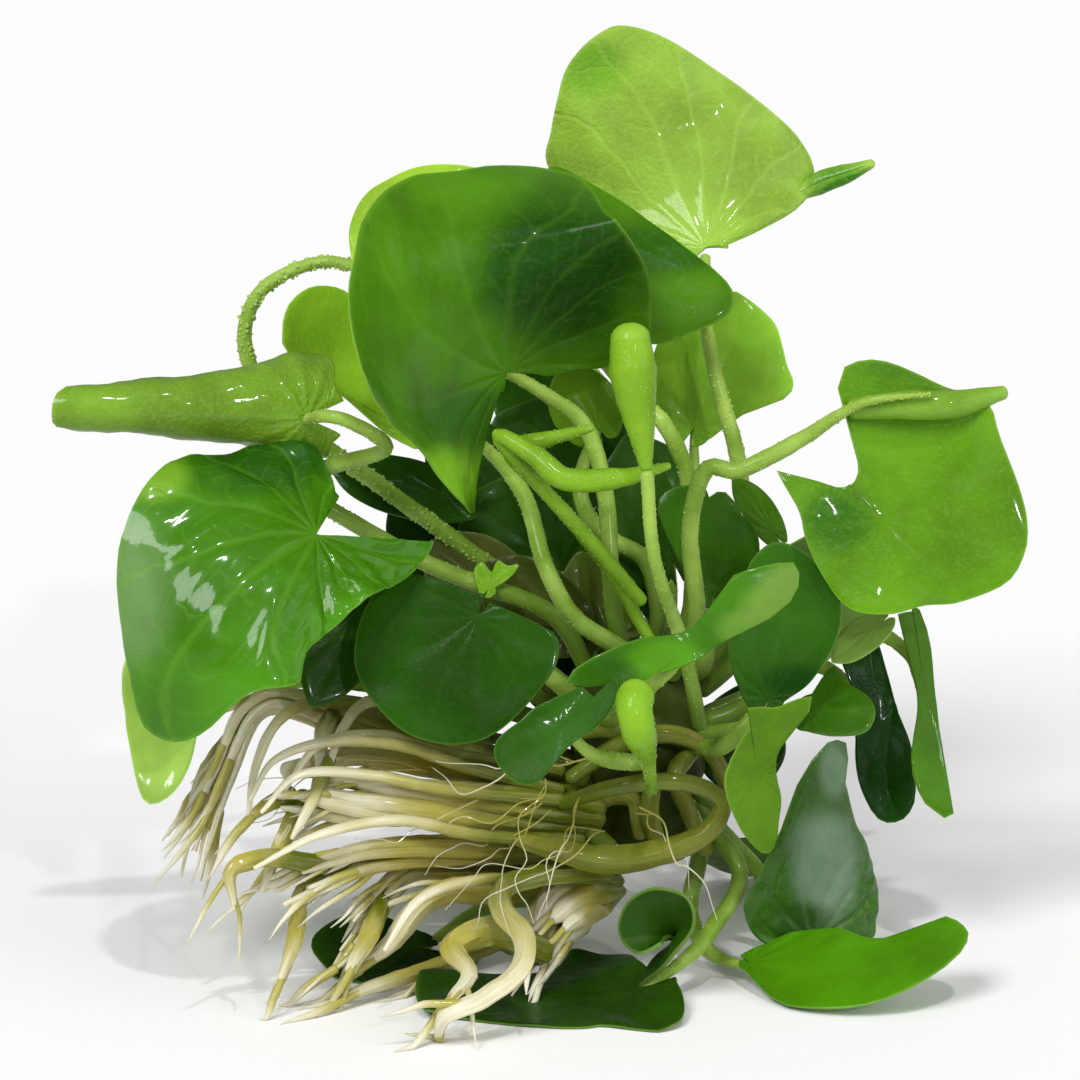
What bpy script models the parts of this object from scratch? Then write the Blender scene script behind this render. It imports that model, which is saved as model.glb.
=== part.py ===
"""Floating heart: a bare-rooted clump lifted out of the water and set down on a table.

A short thick crown sits low in the middle. Stems rise, arch and trail from it, each with one
heart-shaped blade. A comb of fleshy roots leaves it to the left, and the clump rests on its
lowest blades and root tips.

Frame: +X right, +Y away from the viewer, +Z up, in metres. The origin is on the table, under
the middle of the clump.
"""

import math

import bpy
import numpy as np

MM = 0.001

# A place on the plant is given by how it is seen from in front: column and row in a square
# picture 1080 units wide, and its depth in mm behind the clump's middle. A unit is UNIT wide
# there, which comes from stems 3 mm and blades 30 to 45 mm across.
UNIT = 0.14 * MM
PICTURE_MIDDLE = 540
EYE_DISTANCE = 600 * MM
EYE_TILT = math.radians(12)
MIDDLE = np.array([-0.5, 5.9, 59.0]) * MM

RIGHT = np.array([1.0, 0.0, 0.0])
LOOK = np.array([0.0, math.cos(EYE_TILT), -math.sin(EYE_TILT)])
ABOVE = np.array([0.0, math.sin(EYE_TILT), math.cos(EYE_TILT)])

# A blade without an outline of its own is a disc with a notch at the stem, which is set off
# the disc's middle.
BLADE_THICKNESS = 0.8 * MM
STEM_OFF_MIDDLE = 0.55
LOBE_ROUNDING = 0.35
LOBE_ROUNDING_FROM = math.radians(135)
POINT_HEIGHT = 0.05
POINT_HALF_ANGLE = math.radians(9)
EDGE_WAVES = 5
LARGE_BLADE = 19 * MM
BLADE_RAYS = {"large": 10, "small": 7}
BLADE_RINGS = (0.55, 1.0)
CURL_RAYS = 11
SPINE_STEPS = 24
BEND_STEPS = 10
PROBE = 0.05 * MM
OUTLINE_STEPS = 12
OUTLINE_STRIDE = 4 * MM
OUTLINE_SAMPLES = 240
NEAR_THE_NOTCH = math.radians(4)
# Where a blade lies on the table, the part of it this near to lying flat is made flat.
LYING = 0.01 * MM

TUBE_SIDES = 6
CLOSE_SIDES = 5
ROOT_SIDES = 5
RING_SPACING = 7.5 * MM
CLOSE_SPACING = 17.0 * MM
LENGTH_SAMPLES = 40
SPAN_SAMPLES = 12
NEARLY_UPRIGHT = 0.9


def spot(place):
    """The world position of (column, row, depth in mm)."""
    column, row, depth = place
    depth = depth * MM
    scale = UNIT * (1 + depth / EYE_DISTANCE)
    across = (column - PICTURE_MIDDLE) * scale
    up = (PICTURE_MIDDLE - row) * scale
    return MIDDLE + RIGHT * across + ABOVE * up + LOOK * depth


def seen(positions):
    """The columns and rows at which world positions are seen from in front."""
    away = positions - MIDDLE
    scale = UNIT * (1 + away @ LOOK / EYE_DISTANCE)
    return np.stack([PICTURE_MIDDLE + away @ RIGHT / scale, PICTURE_MIDDLE - away @ ABOVE / scale], -1)


def unit(vector):
    return vector / np.linalg.norm(vector)


def smooth_route(points, count):
    """count positions evenly spaced along a smooth curve through the points."""
    points = np.array(points, float)
    ends = [2 * points[0] - points[1], 2 * points[-1] - points[-2]]
    padded = np.vstack([ends[0], points, ends[1]])
    t = np.arange(SPAN_SAMPLES)[:, None] / SPAN_SAMPLES
    fine = []
    for a, b, c, d in zip(padded, padded[1:], padded[2:], padded[3:]):
        square = (2 * a - 5 * b + 4 * c - d) * t**2
        cube = (3 * b - a - 3 * c + d) * t**3
        fine.extend(0.5 * (2 * b + (c - a) * t + square + cube))
    fine = np.array([*fine, points[-1]])
    steps = np.linalg.norm(np.diff(fine, axis=0), axis=1)
    along = np.concatenate([[0], np.cumsum(steps)])
    wanted = np.linspace(0, along[-1], count)
    return np.stack([np.interp(wanted, along, values) for values in fine.T], axis=1)


class Blade:
    """A heart-shaped blade: flat outline, rolled halves, on a curved midrib.

    base, via and tip are places on the midrib. face is the way the upper side faces at the
    base, as (right, up, towards the viewer). left and right are how far each half is bent up,
    in degrees, at the base and at the tip, and ruffle is how far its edge waves, in mm.
    outline gives the blade's edge as (column, row) places in the picture instead, each in
    sight of the base, and cut gives it as (mm ahead, mm aside) on the flat blade.
    """

    def __init__(self, base, tip, width, via=None, face=(0, 0, 1), left=(0, 0),
                 right=(0, 0), ruffle=0, notch=13, rests=False, outline=(), cut=()):
        start, end = spot(base), spot(tip)
        middle = (start + end) / 2 if via is None else spot(via)
        control = 2 * middle - (start + end) / 2
        t = np.linspace(0, 1, SPINE_STEPS)[:, None]
        self.spine = (1 - t) ** 2 * start + 2 * t * (1 - t) * control + t**2 * end
        steps = np.linalg.norm(np.diff(self.spine, axis=0), axis=1)
        self.along = np.concatenate([[0], np.cumsum(steps)])
        self.length = self.along[-1]
        self.half_width = width * MM / 2
        self.radius = self.length / (1 + STEM_OFF_MIDDLE)
        self.ways = np.gradient(self.spine, axis=0)
        self.ways /= np.linalg.norm(self.ways, axis=1)[:, None]
        normal = RIGHT * face[0] + ABOVE * face[1] - LOOK * face[2]
        normals = []
        for way in self.ways:
            normal = unit(normal - way * np.dot(normal, way))
            normals.append(normal)
        self.normals = np.array(normals)
        self.left, self.right = np.radians(left), np.radians(right)
        self.ruffle = ruffle * MM
        self.notch = math.radians(notch)
        self.rests = rests
        self.corners = None
        if outline or cut:
            self.radius = self.half_width
            flat = self.flattened(outline) if outline else np.array(cut) * MM
            angles = np.arctan2(flat[:, 1], flat[:, 0])
            self.corners = np.sort(angles)
            ahead, aside = smooth_route(flat[np.argsort(angles)], OUTLINE_SAMPLES).T
            self.around = np.maximum.accumulate(np.unwrap(np.arctan2(aside, ahead)))
            self.reach = np.hypot(ahead, aside)

    def flattened(self, outline):
        """Where on the flat blade the outline's places lie."""
        outline = np.array(outline, float)
        ruffle, self.ruffle = self.ruffle, 0
        flat = np.full_like(outline, PROBE)
        for _ in range(OUTLINE_STEPS):
            ahead, aside = flat.T
            here = seen(self.place(ahead, aside))
            slopes = [(seen(self.place(ahead + PROBE, aside)) - here) / PROBE,
                      (seen(self.place(ahead, aside + PROBE)) - here) / PROBE]
            step = np.linalg.solve(np.stack(slopes, -1), (outline - here)[..., None])[..., 0]
            far = np.linalg.norm(step, axis=1)[:, None]
            flat = flat + step * np.minimum(1, OUTLINE_STRIDE / np.maximum(far, PROBE))
        self.ruffle = ruffle
        return flat

    def edge(self, angle):
        """The outline's distance from the stem at that angle from the midrib."""
        if self.corners is not None:
            return np.interp(angle, self.around, self.reach)
        swing = STEM_OFF_MIDDLE * np.sin(angle)
        reach = STEM_OFF_MIDDLE * np.cos(angle) + np.sqrt(1 - swing**2)
        reach = reach * (1 + POINT_HEIGHT * np.exp(-((angle / POINT_HALF_ANGLE) ** 2)))
        late = np.clip(np.abs(angle) - LOBE_ROUNDING_FROM, 0, None)
        late = late / (math.pi - self.notch - LOBE_ROUNDING_FROM)
        reach = reach * (1 - LOBE_ROUNDING * late**2)
        return reach * self.radius

    def place(self, ahead, aside):
        """World positions of points on the flat blade."""
        angle = np.arctan2(aside, ahead)
        share = np.hypot(ahead, aside) / self.edge(angle)
        above = self.ruffle * share**3 * np.sin(EDGE_WAVES * angle)
        aside = aside * self.half_width / self.radius
        along = np.clip(ahead, 0, self.length)
        spine, way, normal = (
            np.stack([np.interp(along, self.along, values[:, k]) for k in range(3)], axis=-1)
            for values in (self.spine, self.ways, self.normals)
        )
        left = np.cross(normal, way)
        spine = spine + way * (ahead - along)[..., None]
        late = along / self.length
        side = np.where(aside < 0, -1.0, 1.0)
        bend = np.where(
            aside < 0,
            self.right[0] * (1 - late) + self.right[1] * late,
            self.left[0] * (1 - late) + self.left[1] * late,
        )
        out = np.abs(aside)
        flat, rise = np.zeros_like(out), np.zeros_like(out)
        for step in range(BEND_STEPS):
            tilt = bend * out * (step + 0.5) / BEND_STEPS / self.half_width
            flat += np.cos(tilt) * out / BEND_STEPS
            rise += np.sin(tilt) * out / BEND_STEPS
        tilt = bend * out / self.half_width
        flat = side * (flat - above * np.sin(tilt))
        rise = rise + above * np.cos(tilt)
        world = spine + left * flat[..., None] + normal * rise[..., None]
        if self.rests:
            world[..., 2] = np.maximum(world[..., 2], BLADE_THICKNESS / 2)
        return world

    def upward(self, ahead, aside):
        """Unit vectors out of the upper side."""
        forward = self.place(ahead + PROBE, aside) - self.place(ahead - PROBE, aside)
        across = self.place(ahead, aside + PROBE) - self.place(ahead, aside - PROBE)
        normal = np.cross(forward, across)
        return normal / np.linalg.norm(normal, axis=-1, keepdims=True)


def grid_faces(rows, columns, offset=0):
    """Two triangles for each cell of a grid of vertices stored row by row."""
    faces = []
    for row in range(rows - 1):
        for column in range(columns - 1):
            a = offset + row * columns + column
            b, c, d = a + 1, a + columns + 1, a + columns
            faces += [(a, d, c), (a, c, b)]
    return faces


def blade_shape(blade):
    """Vertices and faces of the blade as a closed sheet with a thickness."""
    rays = BLADE_RAYS["large" if blade.length > LARGE_BLADE else "small"]
    last = math.pi - blade.notch
    angles = np.linspace(-last, last, rays + 1)
    if blade.corners is not None:
        inside = np.abs(blade.corners) < last - NEAR_THE_NOTCH
        angles = np.concatenate([[-last], blade.corners[inside], [last]])
    reach = np.outer(BLADE_RINGS, blade.edge(angles))
    ahead = np.concatenate([[0], (reach * np.cos(angles)).ravel()])
    aside = np.concatenate([[0], (reach * np.sin(angles)).ravel()])
    surface = blade.place(ahead, aside)
    offset = blade.upward(ahead, aside) * BLADE_THICKNESS / 2
    upper, lower = surface + offset, surface - offset
    if blade.rests:
        flat = surface[:, 2] < BLADE_THICKNESS / 2 + LYING
        lower[flat, 2] = 0
        upper[:, 2] = np.maximum(upper[:, 2], BLADE_THICKNESS)
        lower[:, 2] = np.maximum(lower[:, 2], 0)
    return sheet_shape(upper, lower, *reach.shape)


def curl_shape(apex, rim):
    """Vertices and faces of a lobe of a blade rolled into a cone: its apex and its edge."""
    apex = spot(apex)
    edge = smooth_route([spot(place) for place in rim], CURL_RAYS)
    around = np.gradient(edge, axis=0)
    normals = np.cross(edge - apex, around)
    normals /= np.linalg.norm(normals, axis=1)[:, None]
    surface = np.vstack([[apex], apex + (edge - apex) / 2, edge])
    offset = np.vstack([[unit(normals.mean(axis=0))], normals, normals]) * BLADE_THICKNESS / 2
    return sheet_shape(surface + offset, surface - offset, 2, CURL_RAYS)


def sheet_shape(upper, lower, rings, rays):
    """A closed sheet between two surfaces, each a middle point and rings of points round it."""
    count = len(upper)
    top = [(0, 1 + k, 2 + k) for k in range(rays - 1)] + grid_faces(rings, rays, 1)
    faces = list(top)
    faces += [tuple(count + k for k in reversed(face)) for face in top]
    outer = [1 + (rings - 1) * rays + k for k in range(rays)]
    first_side = [0] + [1 + ring * rays for ring in range(rings)]
    last_side = [rays * (ring + 1) for ring in reversed(range(rings))] + [0]
    rim = first_side[:-1] + outer + last_side[1:]
    for a, b in zip(rim, rim[1:]):
        faces += [(a, count + a, count + b), (a, count + b, b)]
    return np.vstack([upper, lower]), faces


def tube_shape(points, radii, sides=TUBE_SIDES, spacing=RING_SPACING):
    """Vertices and faces of a closed tube along the points, its radii in mm spread evenly."""
    rough = smooth_route(points, LENGTH_SAMPLES)
    length = np.linalg.norm(np.diff(rough, axis=0), axis=1).sum()
    rings = max(3, int(round(length / spacing)) + 1)
    route = smooth_route(points, rings)
    ways = np.gradient(route, axis=0)
    ways /= np.linalg.norm(ways, axis=1)[:, None]
    size = np.interp(np.linspace(0, 1, rings), np.linspace(0, 1, len(radii)), radii) * MM
    route[:, 2] = np.maximum(route[:, 2], size)
    upright = abs(np.dot(ways[0], ABOVE)) > NEARLY_UPRIGHT
    across = unit(np.cross(ways[0], RIGHT if upright else ABOVE))
    vertices = []
    for centre, way, radius in zip(route, ways, size):
        across = unit(across - way * np.dot(across, way))
        other = np.cross(way, across)
        for k in range(sides):
            turn = 2 * math.pi * k / sides
            reach = across * math.cos(turn) + other * math.sin(turn)
            vertices.append(centre + reach * radius)
    faces = []
    for ring in range(rings - 1):
        for k in range(sides):
            a = ring * sides + k
            b = ring * sides + (k + 1) % sides
            faces += [(a, b, b + sides), (a, b + sides, a + sides)]
    first = tuple(reversed(range(sides)))
    last = tuple(range((rings - 1) * sides, rings * sides))
    return np.array(vertices), [*faces, first, last]


# The crown: a short upright rhizome, lumpy where old stems broke off.
CROWN_PLACE = (640, 745, 2)
CROWN_HALF_SIZE = np.array([9.0, 9.0, 15.0]) * MM
CROWN_RINGS = 9
CROWN_SIDES = 12
CROWN_LUMP = 0.05
CROWN_LUMPS = 3
CROWN_LUMP_TURN = 2.4
GAP = 0.35 * MM

# Stems: radii in mm from the crown to the blade. An end stands off the crown by GAP and
# this share of its radius, as its flat end isn't square to the crown's skin. A stem meets its
# blade from below: it comes in over STEM_APPROACH, and ends STEM_GAP under it.
STEM_RADII = (1.5, 1.4, 1.3, 0.9)
END_SHARE = 0.3
STEM_APPROACH = 3.0 * MM
STEM_GAP = 0.75 * MM


def crown_exit(toward, radius):
    """Where a stem heading for that position leaves the crown, clear of it by the gap."""
    centre = spot(CROWN_PLACE)
    way = toward - centre
    reach = 1 / np.linalg.norm(way / CROWN_HALF_SIZE)
    return centre + way * reach * (1 + CROWN_LUMP) + unit(way) * (GAP + radius * END_SHARE)


def crown_shape():
    centre = spot(CROWN_PLACE)
    vertices = [centre - [0, 0, CROWN_HALF_SIZE[2]]]
    for ring in range(1, CROWN_RINGS):
        height = -math.cos(math.pi * ring / CROWN_RINGS)
        for k in range(CROWN_SIDES):
            turn = 2 * math.pi * k / CROWN_SIDES
            lump = 1 + CROWN_LUMP * math.sin(CROWN_LUMPS * turn + CROWN_LUMP_TURN * ring)
            out = math.sqrt(1 - height**2) * lump
            way = np.array([math.cos(turn) * out, math.sin(turn) * out, height])
            vertices.append(centre + way * CROWN_HALF_SIZE)
    vertices.append(centre + [0, 0, CROWN_HALF_SIZE[2]])
    faces = []
    for ring in range(CROWN_RINGS - 2):
        for k in range(CROWN_SIDES):
            a = 1 + ring * CROWN_SIDES + k
            b = 1 + ring * CROWN_SIDES + (k + 1) % CROWN_SIDES
            faces += [(a, b, b + CROWN_SIDES), (a, b + CROWN_SIDES, a + CROWN_SIDES)]
    top, start = len(vertices) - 1, len(vertices) - 1 - CROWN_SIDES
    for k in range(CROWN_SIDES):
        following = (k + 1) % CROWN_SIDES
        faces += [(0, 1 + following, 1 + k), (top, start + k, start + following)]
    return np.array(vertices), faces


# Leaves with a stem of their own in sight: a blade and a stem that is a node apart.
LEAVES = {
    "top": dict(
        blade=dict(base=(706, 248, 8), via=(656, 142, 12), tip=(606, 36, 8), width=40,
                   face=(0, 0, -1), left=(35, 30), right=(25, 20), ruffle=0.8, notch=70,
                   outline=[(728, 243), (757, 229), (800, 205), (816, 174), (795, 139),
                            (757, 103), (710, 65), (658, 37), (622, 28), (601, 34),
                            (580, 48), (562, 75), (551, 130), (547, 165), (580, 215),
                            (640, 245), (685, 262)]),
        rolls=[([(792, 197, 14.5), (822, 182, 14.5), (848, 173, 13.5), (871, 164, 12.5)],
                (0.9, 1.7, 1.5, 0.7))],
        stem=[(742, 620, 8), (741, 480, 6), (718, 385, 6), (704, 312, 7)],
        end=(705, 258, 7.5),
    ),
    "hood": dict(
        blade=dict(base=(506, 372, -14), via=(456, 268, -27), tip=(446, 170, -18), width=46,
                   face=(0.2, 0, 1), left=(60, 40), right=(40, 30), ruffle=0.8, notch=35,
                   outline=[(530, 380), (560, 370), (606, 366), (645, 340), (651, 305),
                            (645, 265), (622, 225), (592, 183), (550, 163), (508, 161),
                            (457, 170), (410, 179), (372, 202), (357, 250), (356, 305),
                            (366, 362), (385, 405), (415, 437), (438, 470), (453, 497),
                            (468, 512), (480, 500), (500, 392)]),
        stem=[(612, 600, -6), (606, 500, -5), (586, 428, -5), (548, 396, -7)],
    ),
    "arched": dict(
        blade=dict(base=(370, 268, 0), tip=(500, 190, 4), width=26, face=(-0.2, 0.3, 1),
                   outline=[(352, 262), (349, 235), (356, 210), (368, 192), (385, 181),
                            (405, 172), (430, 167), (470, 168), (500, 175), (510, 200),
                            (480, 265), (440, 290), (400, 300), (365, 300), (354, 288)]),
        stem=[(548, 610, 4), (400, 500, 6), (280, 410, 5), (245, 345, 4), (262, 290, 3),
              (320, 262, 4)],
    ),
    "rolled": dict(
        blade=dict(base=(306, 418, -22), via=(186, 416, -26), tip=(64, 414, -28), width=29,
                   face=(0.1, 0.3, -1), left=(118, 290), right=(118, 290), notch=25,
                   cut=[(-4, 4), (-4, 10), (2, 13.5), (10, 12.5), (20, 10.5), (28, 8.6),
                        (32.5, 6), (34, 2), (34, -2), (32.5, -6), (28, -8.6), (20, -10.5),
                        (10, -12.5), (2, -13.5), (-4, -10), (-4, -4)]),
        stem=[(548, 612, -7), (430, 565, -7), (335, 512, -9), (292, 484, -10),
              (332, 466, -17), (386, 448, -25), (354, 424, -30), (326, 416, -30)],
    ),
    "right": dict(
        blade=dict(base=(862, 490, -20), tip=(965, 600, -20), width=38, face=(0, 0.1, 1),
                   left=(10, 10), right=(-10, -10), ruffle=0.8, notch=29,
                   outline=[(846, 424), (839, 378), (856, 362), (880, 361),
                            (915, 373), (950, 388), (988, 400), (1001, 435), (1022, 497),
                            (1028, 527), (1025, 553), (1006, 582), (960, 602),
                            (924, 606), (889, 615), (851, 610), (827, 584), (805, 538),
                            (796, 506), (776, 463)]),
        rolls=[([(856, 408, -21), (900, 405, -22.3), (955, 404, -22.3), (1002, 393, -20.8)],
                (1.6, 2.0, 2.0, 1.0))],
        stem=[(696, 620, -12), (690, 530, -14), (706, 470, -16), (740, 470, -17),
              (800, 440, -19)],
        end=(844, 412, -22),
    ),
}

# Leaves whose stem hardly shows: blade and stem are one piece.
CLOSE_LEAVES = {
    "low_right_leaf": dict(
        blade=dict(base=(750, 963, -8), via=(850, 972, -16), tip=(967, 933, -16), width=15,
                   face=(0, 0.6, 0.8), rests=True,
                   outline=[(745, 955), (762, 946), (795, 931), (836, 930), (869, 938),
                            (905, 931), (933, 917), (949, 916), (962, 923), (969, 935),
                            (962, 953), (938, 973), (898, 995), (841, 1008), (788, 1006),
                            (759, 986), (745, 971)]),
        stem=[(700, 850, 4), (690, 910, 3), (710, 952, -2)],
    ),
    "bottom_leaf": dict(
        blade=dict(base=(634, 990, -14), via=(540, 1003, -15), tip=(418, 981, -13), width=22,
                   face=(0, 1, 0.3), rests=True,
                   outline=[(655, 975), (677, 983), (684, 1000), (680, 1018), (661, 1030),
                            (640, 1030), (601, 1026), (571, 1028), (457, 1018), (424, 1012),
                            (417, 976), (439, 970), (549, 970), (574, 952), (619, 952), (640, 963)]),
        stem=[(740, 872, -4), (708, 934, -10), (682, 962, -13)],
        curl=((678, 938, -15),
              [(640, 986, -14), (668, 962, -18), (694, 926, -21), (686, 898, -22), (655, 888, -22),
               (627, 905, -21), (619, 932, -20), (638, 954, -20), (662, 944, -20)]),
    ),
    "ridge_leaf": dict(
        blade=dict(base=(566, 262, -3), tip=(733, 298, -2), width=31, face=(0, 0.25, 1),
                   left=(-30, -20), right=(-40, -30), notch=20,
                   outline=[(540, 235), (538, 195), (552, 167), (589, 183),
                            (639, 211), (683, 244), (716, 271), (732, 290), (731, 310),
                            (716, 323), (683, 337), (655, 344), (600, 335), (558, 308)]),
        stem=[(692, 600, 2), (690, 490, 0), (668, 430, -2), (640, 400, 0), (598, 350, 2)],
    ),
    "cup_leaf": dict(
        blade=dict(base=(418, 430, -6), via=(352, 366, -3), tip=(302, 293, -8), width=20,
                   face=(0.3, 0.2, 1), left=(40, 30), right=(40, 30), notch=22,
                   outline=[(436, 422), (415, 395), (395, 360), (375, 325), (350, 294),
                            (325, 285), (303, 291), (288, 310), (284, 335), (290, 356),
                            (335, 391), (365, 414), (395, 437), (414, 448)]),
        stem=[(625, 652, -10), (575, 618, -14), (545, 565, -16), (522, 492, -12),
              (470, 437, -7)],
    ),
    "broad_left_leaf": dict(
        blade=dict(base=(316, 535, -30), via=(215, 612, -38), tip=(166, 734, -33), width=42,
                   face=(-0.15, 0.25, 1), left=(-15, -10), right=(-20, -15), ruffle=1.2,
                   notch=28,
                   outline=[(345, 527), (400, 532), (430, 541), (421, 564), (373, 597),
                            (328, 632), (306, 655), (298, 683), (252, 691), (208, 729),
                            (175, 741), (142, 729), (127, 680), (116, 582),
                            (124, 540), (146, 492), (190, 453), (250, 443), (310, 452),
                            (335, 490)]),
        stem=[(520, 652, -12), (430, 600, -15), (352, 550, -22)],
    ),
    "pale_leaf": dict(
        blade=dict(base=(165, 700, -12), tip=(150, 803, -14), width=16, face=(-0.2, 0, -1),
                   outline=[(190, 660), (201, 690), (197, 735), (189, 768), (172, 794),
                            (149, 803), (136, 778), (123, 701), (125, 660), (150, 638)]),
        stem=[(480, 705, 1), (330, 680, -6), (210, 690, -9)],
    ),
    "small_dark_leaf": dict(
        blade=dict(base=(368, 600, -13), tip=(312, 702, -17), width=10),
        stem=[(520, 686, -5), (440, 630, -12)],
    ),
    "round_leaf": dict(
        blade=dict(base=(478, 616, -23), tip=(412, 740, -24), width=24, face=(0, 0.15, 1),
                   notch=14,
                   outline=[(492, 603), (532, 621), (557, 638), (552, 672),
                            (525, 708), (487, 737), (443, 745), (402, 732), (371, 701),
                            (355, 667), (357, 635), (367, 605), (385, 582), (409, 574),
                            (443, 580), (472, 594)]),
        stem=[(556, 682, -14)],
    ),
    "channel_leaf": dict(
        blade=dict(base=(692, 648, -34), tip=(794, 576, -32), width=11, face=(0.2, 0.3, 1),
                   left=(25, 10), right=(15, 5), notch=2,
                   outline=[(566, 682), (572, 670), (590, 658), (640, 639), (683, 632),
                            (708, 610), (727, 581), (745, 571), (786, 562), (798, 568),
                            (797, 590), (775, 616), (721, 643), (697, 660), (662, 674),
                            (614, 683), (572, 688)]),
        stem=[(604, 708, -17), (650, 686, -26)],
    ),
    "slant_leaf": dict(
        blade=dict(base=(562, 726, -38), tip=(508, 776, -40), width=9, face=(0.2, 0.4, 1),
                   left=(20, 10), right=(20, 10), notch=2,
                   outline=[(616, 680), (580, 687), (539, 705), (518, 722), (501, 735),
                            (494, 748), (498, 765), (515, 782), (532, 785), (543, 778),
                            (570, 746), (590, 732), (611, 711), (619, 688)]),
        stem=[(640, 762, -19), (596, 756, -32)],
    ),
    "strip_leaf": dict(
        blade=dict(base=(926, 700, 2), tip=(944, 818, 0), width=7, face=(0.3, 0, 1), notch=3,
                   outline=[(918, 604), (930, 640), (936, 700), (941, 744), (952, 788),
                            (951, 818), (934, 811), (920, 797), (911, 760), (917, 700),
                            (908, 655), (894, 616)]),
        stem=[(760, 690, 6), (850, 632, 8), (905, 650, 6)],
    ),
    "far_right_leaf": dict(
        blade=dict(base=(880, 722, 10), tip=(895, 820, 8), width=10, face=(0.2, 0, 1), notch=4,
                   outline=[(876, 634), (887, 672), (896, 707), (911, 744), (916, 790),
                            (911, 810), (898, 821), (880, 820), (865, 799), (856, 770),
                            (854, 700), (841, 656), (856, 634)]),
        stem=[(740, 720, 10), (805, 665, 14), (855, 690, 14)],
    ),
    "twisted_leaf": dict(
        blade=dict(base=(812, 712, -8), tip=(872, 716, -10), width=11, face=(0, 0.5, 0.8),
                   outline=[(812, 695), (832, 668), (841, 677), (850, 686), (867, 696),
                            (875, 708), (873, 722), (862, 733), (830, 736), (800, 730)]),
        stem=[(740, 730, -6)],
    ),
    "mid_right_leaf": dict(
        blade=dict(base=(768, 698, -14), tip=(796, 548, -16), width=21, face=(0, 0.2, 1),
                   left=(35, 20), right=(35, 20),
                   outline=[(784, 702), (812, 680), (838, 635), (838, 588), (822, 568),
                             (800, 550), (775, 544), (752, 562), (738, 600),
                            (728, 650), (744, 700), (758, 714)]),
        stem=[(725, 745, -12)],
    ),
    "inner_right_leaf": dict(
        blade=dict(base=(712, 592, -4), tip=(692, 488, -4), width=18, face=(0, 0.2, 1),
                   outline=[(722, 602), (755, 570), (758, 537), (742, 512),
                            (722, 490), (711, 498), (698, 485), (672, 488), (658, 503),
                            (662, 525), (682, 568), (700, 602)]),
        stem=[(705, 660, -2)],
    ),
    "pointed_leaf": dict(
        blade=dict(base=(774, 532, 2), tip=(736, 480, 0), width=5, face=(0.3, 0.2, 1)),
        stem=[(735, 660, 3), (775, 600, 4)],
    ),
    "small_pale_leaf": dict(
        blade=dict(base=(880, 624, -6), tip=(834, 660, -8), width=5, face=(0, 0.4, 0.8)),
        stem=[(735, 712, 0), (800, 672, 1), (862, 622, -1)],
    ),
    "far_top_leaf": dict(
        blade=dict(base=(694, 428, 16), tip=(750, 298, 18), width=25, face=(0, 0.2, 1),
                   outline=[(708, 440), (733, 422), (752, 410), (784, 399), (794, 384),
                            (787, 364), (782, 345), (773, 322), (745, 298), (728, 292),
                            (690, 305), (662, 335), (650, 372), (652, 405), (672, 442)]),
        stem=[(690, 620, 12), (694, 520, 15)],
    ),
    "curved_leaf": dict(
        blade=dict(base=(757, 774, -24), tip=(768, 852, -20), width=10, face=(0.3, 0, 1),
                   left=(30, 30), right=(30, 30), notch=4,
                   outline=[(812, 698), (803, 722), (788, 738), (777, 757), (777, 777),
                            (781, 799), (779, 821), (776, 843), (766, 854), (755, 847),
                            (735, 819), (726, 786), (730, 764), (748, 731), (775, 709)]),
        stem=[(712, 800, -6), (736, 792, -14)],
    ),
    "grey_leaf": dict(
        blade=dict(base=(815, 940, -3), via=(806, 850, -8), tip=(838, 738, -9), width=18,
                   face=(0.2, 0.2, 1), left=(-20, -20), right=(-20, -20),
                   outline=[(826, 952), (868, 940), (875, 912), (876, 882), (868, 850),
                            (858, 828), (850, 799), (844, 775), (850, 746), (832, 740),
                            (815, 755), (795, 792), (781, 832),
                            (762, 869), (746, 898), (746, 918), (760, 940), (800, 952)]),
        stem=[(720, 830, 4), (766, 880, 4)],
    ),
    "behind_roots_leaf": dict(
        blade=dict(base=(418, 948, 4), tip=(313, 946, 0), width=16, face=(0, 0.7, 0.7),
                   rests=True,
                   outline=[(422, 932), (380, 915), (345, 917), (318, 930),
                            (311, 946), (324, 966), (350, 981), (385, 984), (415, 976)]),
        stem=[(582, 888, 14), (490, 906, 11)],
    ),
    "small_bright_leaf": dict(
        blade=dict(base=(598, 428, 10), tip=(562, 370, 10), width=10),
        stem=[(658, 606, 3), (645, 560, 4), (610, 538, 4), (584, 508, 3), (582, 470, 5)],
    ),
    "inner_left_leaf": dict(
        blade=dict(base=(560, 570, 12), tip=(472, 498, 11), width=20, face=(-0.2, 0.2, 1)),
        stem=[(600, 630, 8)],
    ),
    "old_leaf": dict(
        blade=dict(base=(574, 680, 9), tip=(490, 618, 10), width=12, face=(-0.1, 0.4, 1),
                   left=(20, 15), right=(20, 15)),
        stem=[(604, 694, 8)],
    ),
    "centre_left_leaf": dict(
        blade=dict(base=(600, 500, 18), tip=(500, 420, 20), width=22, face=(-0.1, 0.2, 1)),
        stem=[(622, 600, 14)],
    ),
    "centre_right_leaf": dict(
        blade=dict(base=(672, 560, 8), tip=(630, 440, 9), width=16, face=(0, 0.2, 1)),
        stem=[(668, 620, 8)],
    ),
    "back_top_leaf": dict(
        blade=dict(base=(560, 330, 24), tip=(450, 230, 30), width=28, face=(0, 0.5, -1)),
        stem=[(655, 560, 26), (625, 420, 25)],
    ),
    "back_left_leaf": dict(
        blade=dict(base=(450, 600, 28), tip=(300, 650, 36), width=28, face=(-0.3, 0.8, -0.6)),
        stem=[(560, 670, 18)],
    ),
    "back_right_leaf": dict(
        blade=dict(base=(780, 590, 24), tip=(930, 560, 30), width=28, face=(0.2, 0.8, -0.6)),
        stem=[(700, 670, 14)],
    ),
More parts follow.
